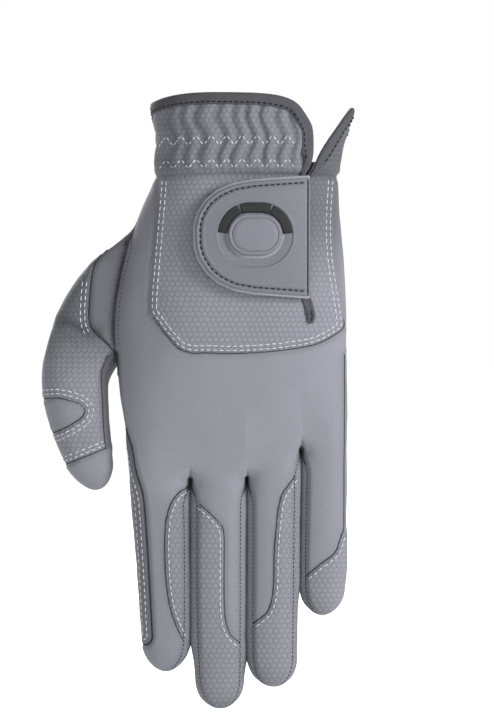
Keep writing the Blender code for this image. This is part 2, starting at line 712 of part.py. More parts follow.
def add_finger(name, upper, lower):
    """Back strip, palm strip and fourchettes of one finger, each in two lengths."""
    tube, sides = FINGERS[name], FOURCHETTES[name]
    left_back = -180 + (36.0 if "l" in sides else INDEX_WRAP)
    right_back = -36.0 if "r" in sides else -22.0
    left_palm = 180 - 38.0 if "l" in sides else 180 + INDEX_WRAP
    right_palm = 38.0 if "r" in sides else -22.0
    strips = [
        ("back", left_back, right_back, 5, "stretch_fabric"),
        ("palm", right_palm, left_palm, 6 if "l" in sides else 8, "palm_leather"),
    ]
    if "l" in sides:
        strips.append(("fourchette_left", left_palm, left_back + 360, 3, "stretch_fabric"))
    if "r" in sides:
        strips.append(("fourchette_right", right_back, right_palm, 3, "stretch_fabric"))
    for part, body, stations in zip(("upper", "lower"), (upper, lower), split_stations(name)):
        for strip, first, last, count, material in strips:
            grid = strip_grid(tube, first, last, count, stations)
            sheet(body, f"{name}_{strip}_{part}", tube, grid, -FABRIC, FABRIC, material)


# Overlay outlines: height, left edge, right edge, the edges as shares of the finger's half width.
OVERLAY_ROWS = {
    "index": (
        (-26.5, 0.70, 0.80), (-31.0, 0.40, 0.80), (-38.0, 0.20, 0.80), (-48.0, 0.12, 0.80),
        (-64.0, 0.14, 0.80), (-74.0, 0.32, 0.80), (-80.0, 0.56, 0.80), (-83.5, 0.72, 0.80),
    ),
    "middle": (
        (-31.5, -0.80, -0.72), (-40.3, -0.80, 0.16), (-46.0, -0.80, 0.20), (-74.0, -0.80, 0.22),
        (-82.0, -0.80, 0.42), (-87.0, -0.80, 0.80), (-100.0, -0.80, 0.80), (-108.0, -0.78, 0.78),
    ),
    "ring": (
        (-23.0, 0.66, 0.80), (-27.5, 0.32, 0.80), (-35.0, 0.16, 0.80), (-50.0, 0.04, 0.80),
        (-65.0, 0.0, 0.80), (-73.5, -0.24, 0.80), (-78.5, -0.78, 0.80), (-92.0, -0.80, 0.80),
        (-99.8, -0.78, 0.78),
    ),
    "little": (
        (-43.5, 0.72, 0.80), (-46.5, 0.60, 0.80), (-50.5, 0.46, 0.80), (-56.8, -0.42, 0.80),
        (-64.0, -0.46, 0.80), (-72.4, -0.44, 0.76),
    ),
}


def add_overlays(name, upper, lower):
    """Honeycomb patches sewn on a finger's back, cut at the middle joint."""
    tube, rows = FINGERS[name], OVERLAY_ROWS[name]
    top, bottom, middle = rows[0][0], rows[-1][0], MIDDLE_JOINT_Z[name]
    runs = [("lower", lower, min(top, middle - CLEARANCE), bottom)]
    if top > middle:
        runs.append(("upper", upper, top, middle + CLEARANCE))
    for part, body, first, last in runs:
        grid = []
        for z in steps(first, last, 12 if last - tube.tip < 5 else 7):
            left, right = spline(rows, z)
            centre, _, half_width, _ = tube.section(z)
            edges = [tube.angle_at(centre.x + share * half_width, z) for share in (left, right)]
            grid.append([(a, z) for a in steps(*edges, 4)])
        sheet(body, f"{name}_overlay_{part}", tube, grid, OVERLAY_LIFT, OVERLAY, "honeycomb_fabric")


def add_thumb(upper, lower):
    """Back and palm halves of the thumb's sleeve, and the smooth window over its knuckle."""
    dome = THUMB_END - FINGERTIP_ROUND
    lower_stations = steps(THUMB_MIDDLE + CLEARANCE, dome, 4)[:-1]
    lower_stations += [dome + FINGERTIP_ROUND * math.cos(math.radians(a)) for a in DOME_ANGLES]
    for strip, first, last, material in (
        ("back", -172.0, -8.0, "honeycomb_fabric"),
        ("palm", -8.0, 188.0, "palm_leather"),
    ):
        grid = strip_grid(THUMB, first, last, 8, lower_stations)
        sheet(lower, f"thumb_{strip}_lower", THUMB, grid, -FABRIC, FABRIC, material)
        angles = [a for a, _ in strip_grid(THUMB, first, last, 8, [50.0])[0]]
        columns = []
        for a in angles:
            columns.append([(a, s) for s in steps(cut_station(a, -CLEARANCE), THUMB_MIDDLE - CLEARANCE, 4)])
        grid = [list(row) for row in zip(*columns)]
        sheet(upper, f"thumb_{strip}_upper", THUMB, grid, -FABRIC, FABRIC, material)
    grid = []
    for turn in steps(10.0, 170.0, 9):
        s = 71.3 - 6.4 * math.cos(math.radians(turn))
        reach = lerp(22.0, 92.0, math.sin(math.radians(turn)))
        grid.append([(a, s) for a in steps(-170.0, -170.0 + reach, 5)])
    sheet(lower, "thumb_knuckle_patch", THUMB, grid, OVERLAY_LIFT, OVERLAY, "stretch_fabric")


# ---------------------------------------------------------------- assembly
def cut_pivot():
    """The point on the slanting cut at the thumb's root that is furthest out on the palm side."""
    points = [THUMB.point(a, cut_station(a, 0.0)) for a in range(40, 141, 2)]
    return max(points, key=lambda p: p.y)


def build():
    clear_scene()
    hand = Body("hand")
    add_hand_panels(hand)
    add_upper_back_panel(hand)
    add_thumb_root(hand)
    add_cuff(hand)
    add_bindings(hand)
    add_palm_pad(hand)
    add_loop_patch(hand)
    root = on_back(TAB_ROOT_X, TAB_Z)
    hinge = HAND.point(*root) + HAND.normal(*root) * (TAB_LIFT + 2.0)
    add_tab(Body("tab", hinge, hand))
    for name, tube in FINGERS.items():
        root = FINGER_ROWS[name][0][0]
        upper = Body(name + "_upper", tube.point(PALM, root) + Vector((0, 0, CLEARANCE)), hand)
        lower = Body(name + "_lower", tube.point(PALM, MIDDLE_JOINT_Z[name]), upper)
        add_finger(name, upper, lower)
        add_overlays(name, upper, lower)
    upper = Body("thumb_upper", cut_pivot(), hand)
    lower = Body("thumb_lower", THUMB.point(PALM, THUMB_MIDDLE), upper)
    add_thumb(upper, lower)


build()
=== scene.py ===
"""Looks of the golf glove: sleeves rebuilt as smooth cloth from the frame's sections, then sewn and trimmed."""

import json
import math

import bpy
import numpy as np
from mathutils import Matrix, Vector, noise
from mathutils.bvhtree import BVHTree


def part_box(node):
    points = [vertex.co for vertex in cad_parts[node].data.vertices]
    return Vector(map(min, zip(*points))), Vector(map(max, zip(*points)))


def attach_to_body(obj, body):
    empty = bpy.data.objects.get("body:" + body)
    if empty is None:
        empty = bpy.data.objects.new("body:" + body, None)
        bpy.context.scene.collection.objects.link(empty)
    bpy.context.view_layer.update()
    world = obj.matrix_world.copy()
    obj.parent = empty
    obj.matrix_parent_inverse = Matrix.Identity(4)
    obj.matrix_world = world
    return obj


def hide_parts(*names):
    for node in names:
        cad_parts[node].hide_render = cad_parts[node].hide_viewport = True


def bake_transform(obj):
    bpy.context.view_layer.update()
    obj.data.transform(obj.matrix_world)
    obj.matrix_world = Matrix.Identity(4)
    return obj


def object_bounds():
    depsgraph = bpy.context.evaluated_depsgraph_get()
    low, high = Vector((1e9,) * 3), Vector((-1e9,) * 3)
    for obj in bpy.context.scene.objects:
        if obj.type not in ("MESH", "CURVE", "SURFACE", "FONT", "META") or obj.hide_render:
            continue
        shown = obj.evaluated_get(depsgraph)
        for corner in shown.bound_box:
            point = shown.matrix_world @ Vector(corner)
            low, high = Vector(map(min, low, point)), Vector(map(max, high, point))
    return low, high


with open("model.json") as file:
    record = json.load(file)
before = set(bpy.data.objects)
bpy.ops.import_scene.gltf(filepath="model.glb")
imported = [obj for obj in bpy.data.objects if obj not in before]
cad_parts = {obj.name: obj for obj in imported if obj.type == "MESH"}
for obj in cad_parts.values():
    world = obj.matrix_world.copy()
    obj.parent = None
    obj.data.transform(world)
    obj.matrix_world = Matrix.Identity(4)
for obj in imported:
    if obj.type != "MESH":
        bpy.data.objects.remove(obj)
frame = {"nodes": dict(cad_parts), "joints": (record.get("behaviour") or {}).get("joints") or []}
cad_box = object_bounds()

MM = 0.001  # lengths below are in millimetres
ROUND = 2.4  # corner of the sleeves' sections, 2 is an ellipse
NAMES = ("index", "middle", "ring", "little")
ACROSS = 40  # columns over the back of one finger
THUMB_ACROSS = 44
CUFF_ROWS, HAND_ROWS = 34, 128
DOME = 10.5  # length of a rounded fingertip
TOUCH = -0.7  # gap left between neighbouring fingers, which press on each other
TAPE_OVER = 1.1  # how far the tape stands over the cloth's edge
# darkening of the thumb's top, and painted shade along the index finger away from its root
THUMB_TOP_TONE, INDEX_PAINTED_SHADE = 0.58, 0.9
CUFF_TONE, THUMB_PAINTED_SHADE, FLAP_TONE, GUSSET_TONE, LEFT_PAINTED_SHADE = 0.76, 0.94, 0.58, 0.85, 0.84  # how dark the cloth is there, with painted shade on the thumb and on the hand's left side, away from the light
DIP, BLEND = 4.5, 26.0  # lengths over which the hand dips between the fingers, and turns into them
SETTLE = 10.0  # length over which a finger's depth leaves the one it has at its root
SPREAD = 34.0  # length over which the columns of the fingers spread out to those of the hand
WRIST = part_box("back_panel")[1].z / MM
JOINTS = {j["name"]: j for j in frame["joints"]}


# ---------------------------------------------------------------- reading the frame
def smooth_step(low, high, value):
    t = np.clip((value - low) / (high - low), 0.0, 1.0)
    return t * t * (3 - 2 * t)


def lerp(a, b, t):
    return a + (b - a) * t


def power(value):
    return np.sign(value) * np.abs(value) ** (2 / ROUND)


def round_share(share):
    """Depth of a section at a share of its half width, as a share of its half depth."""
    return (1 - np.clip(np.abs(share), 0, 1) ** ROUND) ** (1 / ROUND)


EDGES = {}


def cut(names, value, axis=2):
    """Points where the nodes' edges cross a plane."""
    found = [np.zeros((0, 3))]
    for name in names:
        if name not in EDGES:
            mesh = frame["nodes"][name].data
            points = np.array([v.co[:] for v in mesh.vertices]) / MM
            ends = np.array([e.vertices[:] for e in mesh.edges])
            EDGES[name] = points[ends[:, 0]], points[ends[:, 1]]
        a, b = EDGES[name]
        crossing = (a[:, axis] - value) * (b[:, axis] - value) < 0
        a, b = a[crossing], b[crossing]
        t = (value - a[:, axis]) / (b[:, axis] - a[:, axis])
        found.append(a + (b - a) * t[:, None])
    return np.concatenate(found)


def box(node):
    low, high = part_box(node)
    return np.array(low) / MM, np.array(high) / MM


def joint_point(name):
    return np.array(JOINTS[name]["pos_m"]) / MM


def hull(flat_points):
    """Convex outline of 2D points, anticlockwise."""
    ordered = sorted({(round(float(a), 2), round(float(b), 2)) for a, b in flat_points})

    def chain(order):
        found = []
        for p in order:
            while len(found) > 1:
                (ax, az), (bx, bz) = found[-2:]
                if (bx - ax) * (p[1] - az) - (bz - az) * (p[0] - ax) > 0:
                    break
                found.pop()
            found.append(p)
        return found[:-1]

    return np.array(chain(ordered) + chain(ordered[::-1]))


def mesh_points(node):
    return np.array([v.co[:] for v in frame["nodes"][node].data.vertices]) / MM


class Sleeve:
    """Left, right, back and palm side of a sleeve at each height."""

    def __init__(self, rows, times=2):
        rows = np.array(sorted([list(row) for row in rows]), float)
        self.z, self.sides = rows[:, 0], rows[:, 1:]
        for _ in range(times):
            self.sides[1:-1] = self.sides[1:-1] / 2 + (self.sides[:-2] + self.sides[2:]) / 4

    def at(self, z):
        return [np.interp(z, self.z, side) for side in self.sides.T]


def read_finger(name):
    nodes = [n for n in frame["nodes"] if n.startswith(name + "_") and "overlay" not in n]
    low = min(box(n)[0][2] for n in nodes)
    high = max(box(n)[1][2] for n in nodes)
    middle = joint_point(name + "_knuckle")[2]
    rows = []
    for z in np.arange(low + DOME + 0.7, high - 0.5, 2.5):
        p = cut(nodes, z)
        if len(p) > 30 and abs(z - middle) > 1.0:
            rows.append((z, p[:, 0].min(), p[:, 0].max(), p[:, 1].min(), p[:, 1].max()))
    rows = np.array(rows)
    slope = (rows[3] - rows[0]) / (rows[3][0] - rows[0][0])
    extra = [rows[0] + slope * (low - 1 + k * DOME / 4 - rows[0][0]) for k in range(4)]
    return Sleeve(extra + list(rows)), low, high


def read_hand():
    rows = []
    whole = box("little_back_upper")[1][2] + 4
    widest = cut(("back_panel", "palm_panel"), whole)[:, 0].max()
    for z in np.arange(-21.0, WRIST - 1, 3.0):
        p = cut(("back_panel", "palm_panel"), z)
        right, back, palm = p[:, 0].max(), p[:, 1].min(), p[:, 1].max()
        right = right if z > whole else widest
        x, y = p[p[:, 0].argmin(), :2]
        k = round_share((y - (back + palm) / 2) / ((palm - back) / 2))
        rows.append((z, (2 * x - right * (1 - k)) / (1 + k), right, back, palm))
    palm = rows[-1][4]
    lift = 1.1
    for z in np.arange(WRIST + 3, box("cuff_palm")[1][2] - 0.5, 2.5):
        p = cut(("cuff_back", "cuff_palm"), z)
        rows.append((z, p[:, 0].min() + lift, p[:, 0].max() - lift, p[:, 1].min() + lift, palm))
    return Sleeve(rows)


HAND = read_hand()
SLEEVES, TIPS, ROOTS = {}, {}, {}
for finger in NAMES:
    SLEEVES[finger], TIPS[finger], ROOTS[finger] = read_finger(finger)


def hand_surface(x, z, side=-1):
    """Points of the hand's sleeve at x, on the back (side -1) or the palm (side 1)."""
    left, right, back, palm = HAND.at(z)
    share = (2 * x - left - right) / (right - left)
    return (back + palm) / 2 + side * (palm - back) / 2 * round_share(share)


# ---------------------------------------------------------------- one skin for the whole glove
class Skin:
    """Points and faces of all sleeves, with shared points where they join, and fields on the points."""

    def __init__(self):
        self.points, self.count = [], 0
        self.faces, self.face_labels = [], []
        self.fields = {}

    def add(self, points, **fields):
        points = np.asarray(points, float)
        index = np.arange(self.count, self.count + points.shape[0] * points.shape[1])
        self.points.append(points.reshape(-1, 3))
        self.count += len(index)
        for name, values in fields.items():
            self.fields.setdefault(name, {})
            self.fields[name].update(zip(index.tolist(), np.broadcast_to(values, points.shape[:2]).ravel()))
        return index.reshape(points.shape[:2])

    def quads(self, index, label, flip=False, skip=None):
        a, b, c, d = index[:-1, :-1], index[:-1, 1:], index[1:, 1:], index[1:, :-1]
        order = (a, d, c, b) if flip else (a, b, c, d)
        quads = np.stack(order, -1)
        keep = np.ones(quads.shape[:2], bool) if skip is None else ~skip
        self.faces += quads[keep].tolist()
        self.face_labels += [label] * int(keep.sum())


skin = Skin()
across = np.arange(4 * ACROSS + 1) / ACROSS
finger_no = np.minimum(across.astype(int), 3)
turn = np.pi * (across - finger_no)

root_sections = [[float(v) for v in SLEEVES[n].at(ROOTS[n] - 1)] for n in NAMES]
pinch_x = [root_sections[0][0]]
pinch_x += [(root_sections[k][1] + root_sections[k + 1][0]) / 2 for k in range(3)]
pinch_x += [root_sections[3][1]]
pinch_x = np.array(pinch_x)
z_index, z_middle, z_ring, z_little = [ROOTS[n] for n in NAMES]
pinch_z = np.array([z_index, z_middle + 0.8, (z_middle + z_ring) / 2, z_little + 1.6, z_little])
share = across - finger_no
root_z = lerp(pinch_z[finger_no], pinch_z[finger_no + 1], smooth_step(0, 1, share))

sections = np.array(root_sections)[finger_no]
root_l, root_r = pinch_x[finger_no], pinch_x[finger_no + 1]
touch_x = (root_l + root_r) / 2 - (root_r - root_l) / 2 * power(np.cos(turn))
middle_y = (sections[:, 2] + sections[:, 3]) / 2
half_depth = (sections[:, 3] - sections[:, 2]) / 2 * power(np.sin(turn))
for k in range(1, 4):
    near = k * ACROSS
    middle_y[near] = (middle_y[near] + middle_y[near - 1]) / 2
root_array = np.array(root_sections)
centres = np.arange(4) + 0.5
crest_middle = np.interp(across, centres, (root_array[:, 3] + root_array[:, 2]) / 2)
crest_half = np.interp(across, centres, (root_array[:, 3] - root_array[:, 2]) / 2)
outer = (across < 0.5) | (across > 3.5)
crest_half = np.where(outer, half_depth, crest_half)


slit_low = box("binding_slit")[0][2] - 2.0
slit_side = cut(("binding_slit",), WRIST - 20)[:, 0].min()


def slit_x(z):
    """x of the slit under the closure tab. Its low end leans out from under the tab's corner."""
    return slit_side + 2.4 * smooth_step(slit_low + 8, slit_low + 2, z)


def warp(x, z, palm_side):
    """Moves the columns over the wrist so that one of them follows each edge of the cuff's opening."""
    if palm_side:
        return x
    left, right = HAND.at(z)[:2]
    natural = left + (pinch_x[3] - pinch_x[0]) / (pinch_x[4] - pinch_x[0]) * (right - left)
    on_cuff = smooth_step(WRIST - 2, WRIST + 2, z)
    slit = lerp(natural, slit_x(z), smooth_step(slit_low - 22, slit_low, z))
    edge = lerp(slit, np.interp(z, edge_z, edge_x), on_cuff)
    start = lerp(slit, flap_start, on_cuff)
    moved_left = left + (x - left) * (edge - left) / (natural - left)
    moved_right = right - (right - x) * (right - start) / (right - natural)
    return np.where(across <= 3.0, moved_left, moved_right)


edge_z = np.arange(WRIST + 2.0, box("cuff_back")[1][2] - 13.5, 1.0)
edge_x = np.array([cut(("cuff_back",), z)[:, 0].max() for z in edge_z])
flap_z = np.arange(WRIST + 1.5, box("cuff_palm")[1][2] - 0.3, 1.0)
flap_x = []
for z in flap_z:
    p = cut(("cuff_palm",), z)
    flap_x.append(p[(p[:, 1] < hand_surface(10, z) + 22) & (p[:, 0] > 10)][:, 0].min())
flap_x = np.array(flap_x)
flap_start = flap_x[0] - 0.6


def columns_at(z, palm_side):
    """The glove's columns round the hand at height z (one height for each column)."""
    left, right, back, palm = HAND.at(z)
    x = left + (touch_x - pinch_x[0]) / (pinch_x[4] - pinch_x[0]) * (right - left)
    x = warp(x, z, palm_side)
    side = 1 if palm_side else -1
    x = lerp(x, touch_x, np.clip(1 - (z - root_z) / SPREAD, 0, 1) ** 1.5)
    y = (back + palm) / 2 + side * (palm - back) / 2 * round_share((2 * x - left - right) / (right - left))
    y = lerp(y, crest_middle + side * crest_half, smooth_step(BLEND, 0, z - root_z))
    y = lerp(y, middle_y + side * half_depth, np.clip(1 - (z - root_z) / DIP, 0, 1) ** 2)
    return np.stack([x, y, z], -1)


def cuff_tops():
    """The height of the cuff's edge at each column, on the back and on the palm side."""
    x = columns_at(np.full(len(across), WRIST + 20), False)[:, 0]
    low, high = box("cuff_back")[0][0], box("cuff_back")[1][0]
    back = []
    for k, at in enumerate(x):
        if across[k] <= 3.0:
            back.append(cut(("cuff_back",), np.clip(at, low + 1.8, high - 0.4), 0)[:, 2].max())
            continue
        heights = np.arange(WRIST, box("cuff_palm")[1][2], 0.25)
        tries = np.array([columns_at(np.full(len(across), h), False)[k, 0] for h in heights[::4]])
        tries = np.interp(heights, heights[::4], tries)
        inside = tries >= np.interp(heights, flap_z, flap_x) - 0.3
        back.append(heights[inside].max() if inside.any() else WRIST + 0.5)
    back = np.array(back)
    right_end = box("cuff_palm")[1][0]
    palm = []
    for at in columns_at(np.full(len(across), WRIST + 12), True)[:, 0]:
        p = cut(("cuff_palm",), np.clip(at, box("cuff_palm")[0][0] + 1.8, right_end - 6), 0)
        palm.append(p[p[:, 1] > -18][:, 2].max())
    palm = np.array(palm)
    for _ in range(3):
        palm[1:-1] = palm[1:-1] / 2 + (palm[:-2] + palm[2:]) / 4
    fade = smooth_step(3.55, 4.0, across)
    palm = lerp(palm, back[-1], fade)
    palm[0] = back[0]
    return back, palm


def hand_grid(top, palm_side):
    rows = []
    for i in range(CUFF_ROWS):
        rows.append(columns_at(lerp(top, WRIST, i / CUFF_ROWS), palm_side))
    for i in range(HAND_ROWS + 1):
        rows.append(columns_at(lerp(WRIST, root_z, i / HAND_ROWS), palm_side))
    return np.array(rows)


top_back, top_palm = cuff_tops()
top_back -= TAPE_OVER * (across <= 3.0)
top_back[0] = top_palm[0] = (top_back[0] + top_palm[0]) / 2
slit_column = 3 * ACROSS
back_index = skin.add(hand_grid(top_back, False), back=1.0)
palm_index = skin.add(hand_grid(top_palm, True), back=-1.0)
palm_index[:, 0], palm_index[:, -1] = back_index[:, 0], back_index[:, -1]
for k in range(1, 4):
    palm_index[-1, k * ACROSS] = back_index[-1, k * ACROSS]

back_z = np.concatenate([skin.points[0]]).reshape(back_index.shape + (3,))[:, :, 2]
opening = np.zeros((back_index.shape[0] - 1, back_index.shape[1] - 1), bool)
opening[:, slit_column] = back_z[:-1, slit_column] > slit_low
skin.quads(back_index, "hand_back", skip=opening)
skin.quads(palm_index, "hand_palm", flip=True)

# Fingers: a closed ring of columns, back first, then palm.
FINGER_RINGS = {}
for k, name in enumerate(NAMES):
    sleeve, tip = SLEEVES[name], TIPS[name]
    first, last = k * ACROSS, (k + 1) * ACROSS
    c = np.arange(ACROSS + 1) / ACROSS
    degrees = np.concatenate([-180 + 180 * c, 180 * (1 - c[::-1][1:-1])])
    ring_root = np.concatenate([back_index[-1, first : last + 1], palm_index[-1, first + 1 : last][::-1]])
    ring_z = np.concatenate([root_z[first : last + 1], root_z[first + 1 : last][::-1]])
    level = ring_z.min() - 5.0
    heights = [lerp(ring_z, level, i / 14) for i in range(1, 15)]
    straight = int((level - tip - DOME) / 0.95)
    heights += [np.full_like(ring_z, lerp(level, tip + DOME, i / straight)) for i in range(1, straight + 1)]
    for a in np.radians(np.linspace(86, 3, 24)):
        heights.append(np.full_like(ring_z, tip + DOME * (1 - math.cos(a))))
    z = np.array(heights)
    left, right, back, palm = [v.copy() for v in sleeve.at(z)]
    settle = smooth_step(0, SETTLE, ring_z - z)
    back, palm = lerp(root_sections[k][2], back, settle), lerp(root_sections[k][3], palm, settle)
    gap = TOUCH * smooth_step(-0.5, 1.0, ring_z - z)
    for other, sign in ((k - 1, -1), (k + 1, 1)):
        if not 0 <= other < 4:
            continue
        theirs = SLEEVES[NAMES[other]].at(z)[1 if sign < 0 else 0]
        mine = left if sign < 0 else right
        room = (sign * (theirs - mine) - gap) / 2
        end = max(tip, TIPS[NAMES[other]])
        room *= smooth_step(end + 2, end + 15, z)
        mine += sign * np.maximum(room, 0)
    angle = np.radians(degrees)
    distance = np.clip((z - tip) / DOME, 0, 1)
    scale = np.sqrt(np.clip(1 - (1 - distance) ** 2, 0, 1))
    x = (left + right) / 2 + (right - left) / 2 * scale * power(np.cos(angle))
    y = (back + palm) / 2 + (palm - back) / 2 * scale * power(np.sin(angle))
    index = skin.add(np.stack([x, y, z], -1), back=np.where(degrees <= 0, 1.0, -1.0)[None, :])
    index = np.vstack([ring_root, index])
    pole_y = (back[-1, 0] + palm[-1, 0]) / 2
    pole = skin.add([[((left[-1, 0] + right[-1, 0]) / 2, pole_y, tip)]], back=1.0)[0, 0]
    index = np.hstack([index, index[:, :1]])
    FINGER_RINGS[name] = index, degrees, pole

# ---------------------------------------------------------------- bend zones
ZONES = {"hand_back": ("hand",), "hand_palm": ("hand",)}
for name in NAMES:
    length = 12.0 if name == "little" else 15.0
    half = 7.5 if name == "little" else 9.0
    k = NAMES.index(name)
    start = root_z[k * ACROSS : (k + 1) * ACROSS + 1].min()
    middle = joint_point(name + "_knuckle")[2]
    border_z = (start - length + middle + half) / 2
    ZONES[name + "_upper"] = "hand", name + "_upper", (0, 0, start), (0, 0, start - length)
    ZONES[name + "_lower"] = name + "_upper", name + "_lower", (0, 0, middle + half), (0, 0, middle - half)
    index, degrees, pole = FINGER_RINGS[name]
    z = np.concatenate(skin.points)[index][:, :, 2]
    border = int(np.argmax(z[:, 0] < border_z))
    skin.quads(index[: border + 1], name + "_upper")
    skin.quads(index[border:], name + "_lower")
    for a, b in zip(index[-1][:-1], index[-1][1:]):
        skin.faces.append([int(a), int(b), pole])
        skin.face_labels.append(name + "_lower")

# ---------------------------------------------------------------- thumb
THUMB_NODES = [n for n in frame["nodes"] if n.startswith("thumb_") and "patch" not in n]
thumb_tip = min(box(n)[0][2] for n in THUMB_NODES)
thumb_top = box("thumb_base")[1][2]
root_at, root_axis = joint_point("thumb_root"), np.array(JOINTS["thumb_root"]["axis"], float)
bend_at = joint_point("thumb_knuckle")
down_thumb = np.array([root_axis[2], 0, -root_axis[0]])
down_thumb /= np.linalg.norm(down_thumb)
crotch_z = box("thumb_gusset")[0][2] + 4.5


def read_thumb():
    rows = []
    full = box("thumb_back_lower")[1][2] + 5
    inner = None
    for z in np.arange(thumb_tip + DOME + 0.7, thumb_top - 1, 2.5):
        if abs(z - bend_at[2]) < 1.6:
            continue
        p = cut(THUMB_NODES, z)
        right = p[:, 0].max() if z < full else max(inner, p[:, 0].min() + 8)
        inner = right
        rows.append((z, p[:, 0].min(), right, p[:, 1].min(), p[:, 1].max()))
    rows = np.array(rows)
    slope = (rows[3] - rows[0]) / (rows[3][0] - rows[0][0])
    extra = [rows[0] + slope * (thumb_tip - 1 + k * DOME / 4 - rows[0][0]) for k in range(4)]
    return Sleeve(extra + list(rows), 3)


THUMB = read_thumb()
gusset_z = np.arange(crotch_z - 4, box("thumb_gusset")[1][2] - 0.5, 1.5)
gusset = {}
for node, side in (("thumb_gusset", -1), ("thumb_gusset_palm", 1)):
    spans = np.array([(p[:, 0].min(), p[:, 0].max()) for p in (cut((node,), z) for z in gusset_z)])
    for _ in range(3):
        spans[1:-1] = spans[1:-1] / 2 + (spans[:-2] + spans[2:]) / 4
    gusset[side] = spans


PALM_CREASES = (
    ((-34, 4), (-22, 8), (-13, 24), (-12, 46), (-20, 70)),
    ((38, 2), (20, 6), (4, -2), (-8, -16)),
    ((-30, 10), (-6, 14), (16, 26), (30, 44)),
)
INNER_REACH = ((0.0, -1.5), (3.0, 1.0), (8.0, 2.6), (14.0, 2.4), (20.0, 2.0))
GUSSET_WIDTH = ((0.0, 0.3), (3.0, 3.0), (8.0, 8.8), (12.0, 9.8), (20.0, 10.2), (32.0, 11.2), (40.0, 9.4))


def thumb_seam_x(z, side):
    """x of the seam between the thumb's sleeve and the gusset."""
    hand_x = np.interp(z, gusset_z, gusset[side][:, 1])
    above, width = np.array(GUSSET_WIDTH).T
    spread = [np.interp(z - crotch_z + step, above, width) for step in (-2, 0, 2)]
    x = hand_x - np.maximum((spread[0] + 2 * spread[1] + spread[2]) / 4, 0.3)
    return np.maximum(x, THUMB.at(z)[0] + 0.8)


def thumb_seam_point(z, side):
    left, right, back, palm = THUMB.at(z)
    x = thumb_seam_x(z, side)
    right = np.maximum(right, x + 3)
    share = (2 * x - left - right) / (right - left)
    return x, (back + palm) / 2 + side * (palm - back) / 2 * round_share(share)


CREASE = ((9.0, 7.5), (4.5, 6.5), (-1.0, 9.5), (-4.0, 11.5))  # fold of the thumb, from its joint and the crotch
SEAM_COLUMN = 0.6  # share of the columns that lies on the thumb's own sleeve above the crotch
c = np.arange(THUMB_ACROSS + 1) / THUMB_ACROSS
ring_c = np.concatenate([c, c[::-1][1:-1]])
ring_side = np.concatenate([np.full(len(c), -1.0), np.full(len(c) - 2, 1.0)])
ring_angle = np.radians(180 * (1 - ring_c)) * ring_side
heights = list(np.linspace(thumb_top, thumb_tip + DOME, int((thumb_top - thumb_tip - DOME) / 0.9)))
heights += [thumb_tip + DOME * (1 - math.cos(a)) for a in np.radians(np.linspace(86, 3, 24))]
rows = []
for z in heights:
    left, right, back, palm = THUMB.at(z)
    scale = math.sqrt(max(1 - (1 - min((z - thumb_tip) / DOME, 1)) ** 2, 0))
    x = (left + right) / 2 + (right - left) / 2 * scale * power(np.cos(ring_angle))
    y = (back + palm) / 2 + (palm - back) / 2 * scale * power(np.sin(ring_angle))
    if z > crotch_z - 15:
        gx, gy = np.zeros_like(x), np.zeros_like(y)
        for side in (-1, 1):
            sx, sy = thumb_seam_point(z, side)
            hx = np.interp(z, gusset_z, gusset[side][:, 1])
            hy = hand_surface(hx, z, side)
            mine = ring_side == side
            if side == 1:
                mine |= ring_c == 1.0
            t = np.clip(ring_c / SEAM_COLUMN, 0, 1)
            wide = sx - left
            depth = abs(sy - (back + palm) / 2)
            arc_x = sx - wide * np.cos(t * np.pi / 2) ** (2 / ROUND)
            arc_y = (back + palm) / 2 + side * depth * np.sin(t * np.pi / 2) ** (2 / ROUND)
            g = np.clip((ring_c - SEAM_COLUMN) / (1 - SEAM_COLUMN), 0, 1)
            flat_x = lerp(sx, hx, g)
            flat_y = lerp(sy, hy, g) + side * 1.0 * np.sin(np.pi * g)
            px = np.where(ring_c <= SEAM_COLUMN, arc_x, flat_x)
            py = np.where(ring_c <= SEAM_COLUMN, arc_y, flat_y)
            gx = np.where(mine, px, gx)
            gy = np.where(mine, py, gy)
        m = smooth_step(crotch_z - 14, crotch_z + 3, z)
        x, y = lerp(x, gx, m), lerp(y, gy, m)
        close = smooth_step(thumb_top - 15, thumb_top, z)
        hl, hr, hb, hp = HAND.at(z)
        on_hand = hl + (1 - np.cos(np.radians(16) * ring_c)) * (hr - hl) / 2
        x = lerp(x, on_hand, close)
        y = lerp(y, (hb + hp) / 2 + ring_side * (hp - hb) / 2 * np.sin(np.radians(16) * ring_c), close)
    rows.append(np.stack([x, y, np.full_like(x, z)], -1))
thumb_index = skin.add(np.array(rows), back=-ring_side[None, :])
thumb_index = np.hstack([thumb_index, thumb_index[:, :1]])
left, right, back, palm = THUMB.at(thumb_tip)
thumb_pole = skin.add([[((left + right) / 2, (back + palm) / 2, thumb_tip)]], back=1.0)[0, 0]

lower_dir = np.array([-0.35, 0, -0.937])
ZONES["thumb_upper"] = "hand", "thumb_upper", root_at - 5 * down_thumb, root_at + 6 * down_thumb
ZONES["thumb_lower"] = "thumb_upper", "thumb_lower", bend_at - 6.5 * lower_dir, bend_at + 6.5 * lower_dir
all_points = np.concatenate(skin.points)
quads = np.stack([thumb_index[:-1, :-1], thumb_index[:-1, 1:], thumb_index[1:, 1:], thumb_index[1:, :-1]], -1)
centres = all_points[quads].mean(axis=2)
is_lower = (centres - (bend_at - 6.8 * lower_dir)) @ lower_dir > 0
skin.faces += quads.reshape(-1, 4).tolist()
skin.face_labels += ["thumb_lower" if low else "thumb_upper" for low in is_lower.ravel()]
for a, b in zip(thumb_index[-1][:-1], thumb_index[-1][1:]):
    skin.faces.append([int(a), int(b), thumb_pole])
    skin.face_labels.append("thumb_lower")

points = np.concatenate(skin.points)
on_back = np.zeros(len(points), bool)
for i, value in skin.fields["back"].items():
    on_back[i] = value > 0


# ---------------------------------------------------------------- normals
skin.faces = [face[::-1] for face in skin.faces]
triangles = []
for face in skin.faces:
    triangles.append(face[:3])
    if len(face) == 4:
        triangles.append([face[0], face[2], face[3]])
triangles = np.array(triangles)


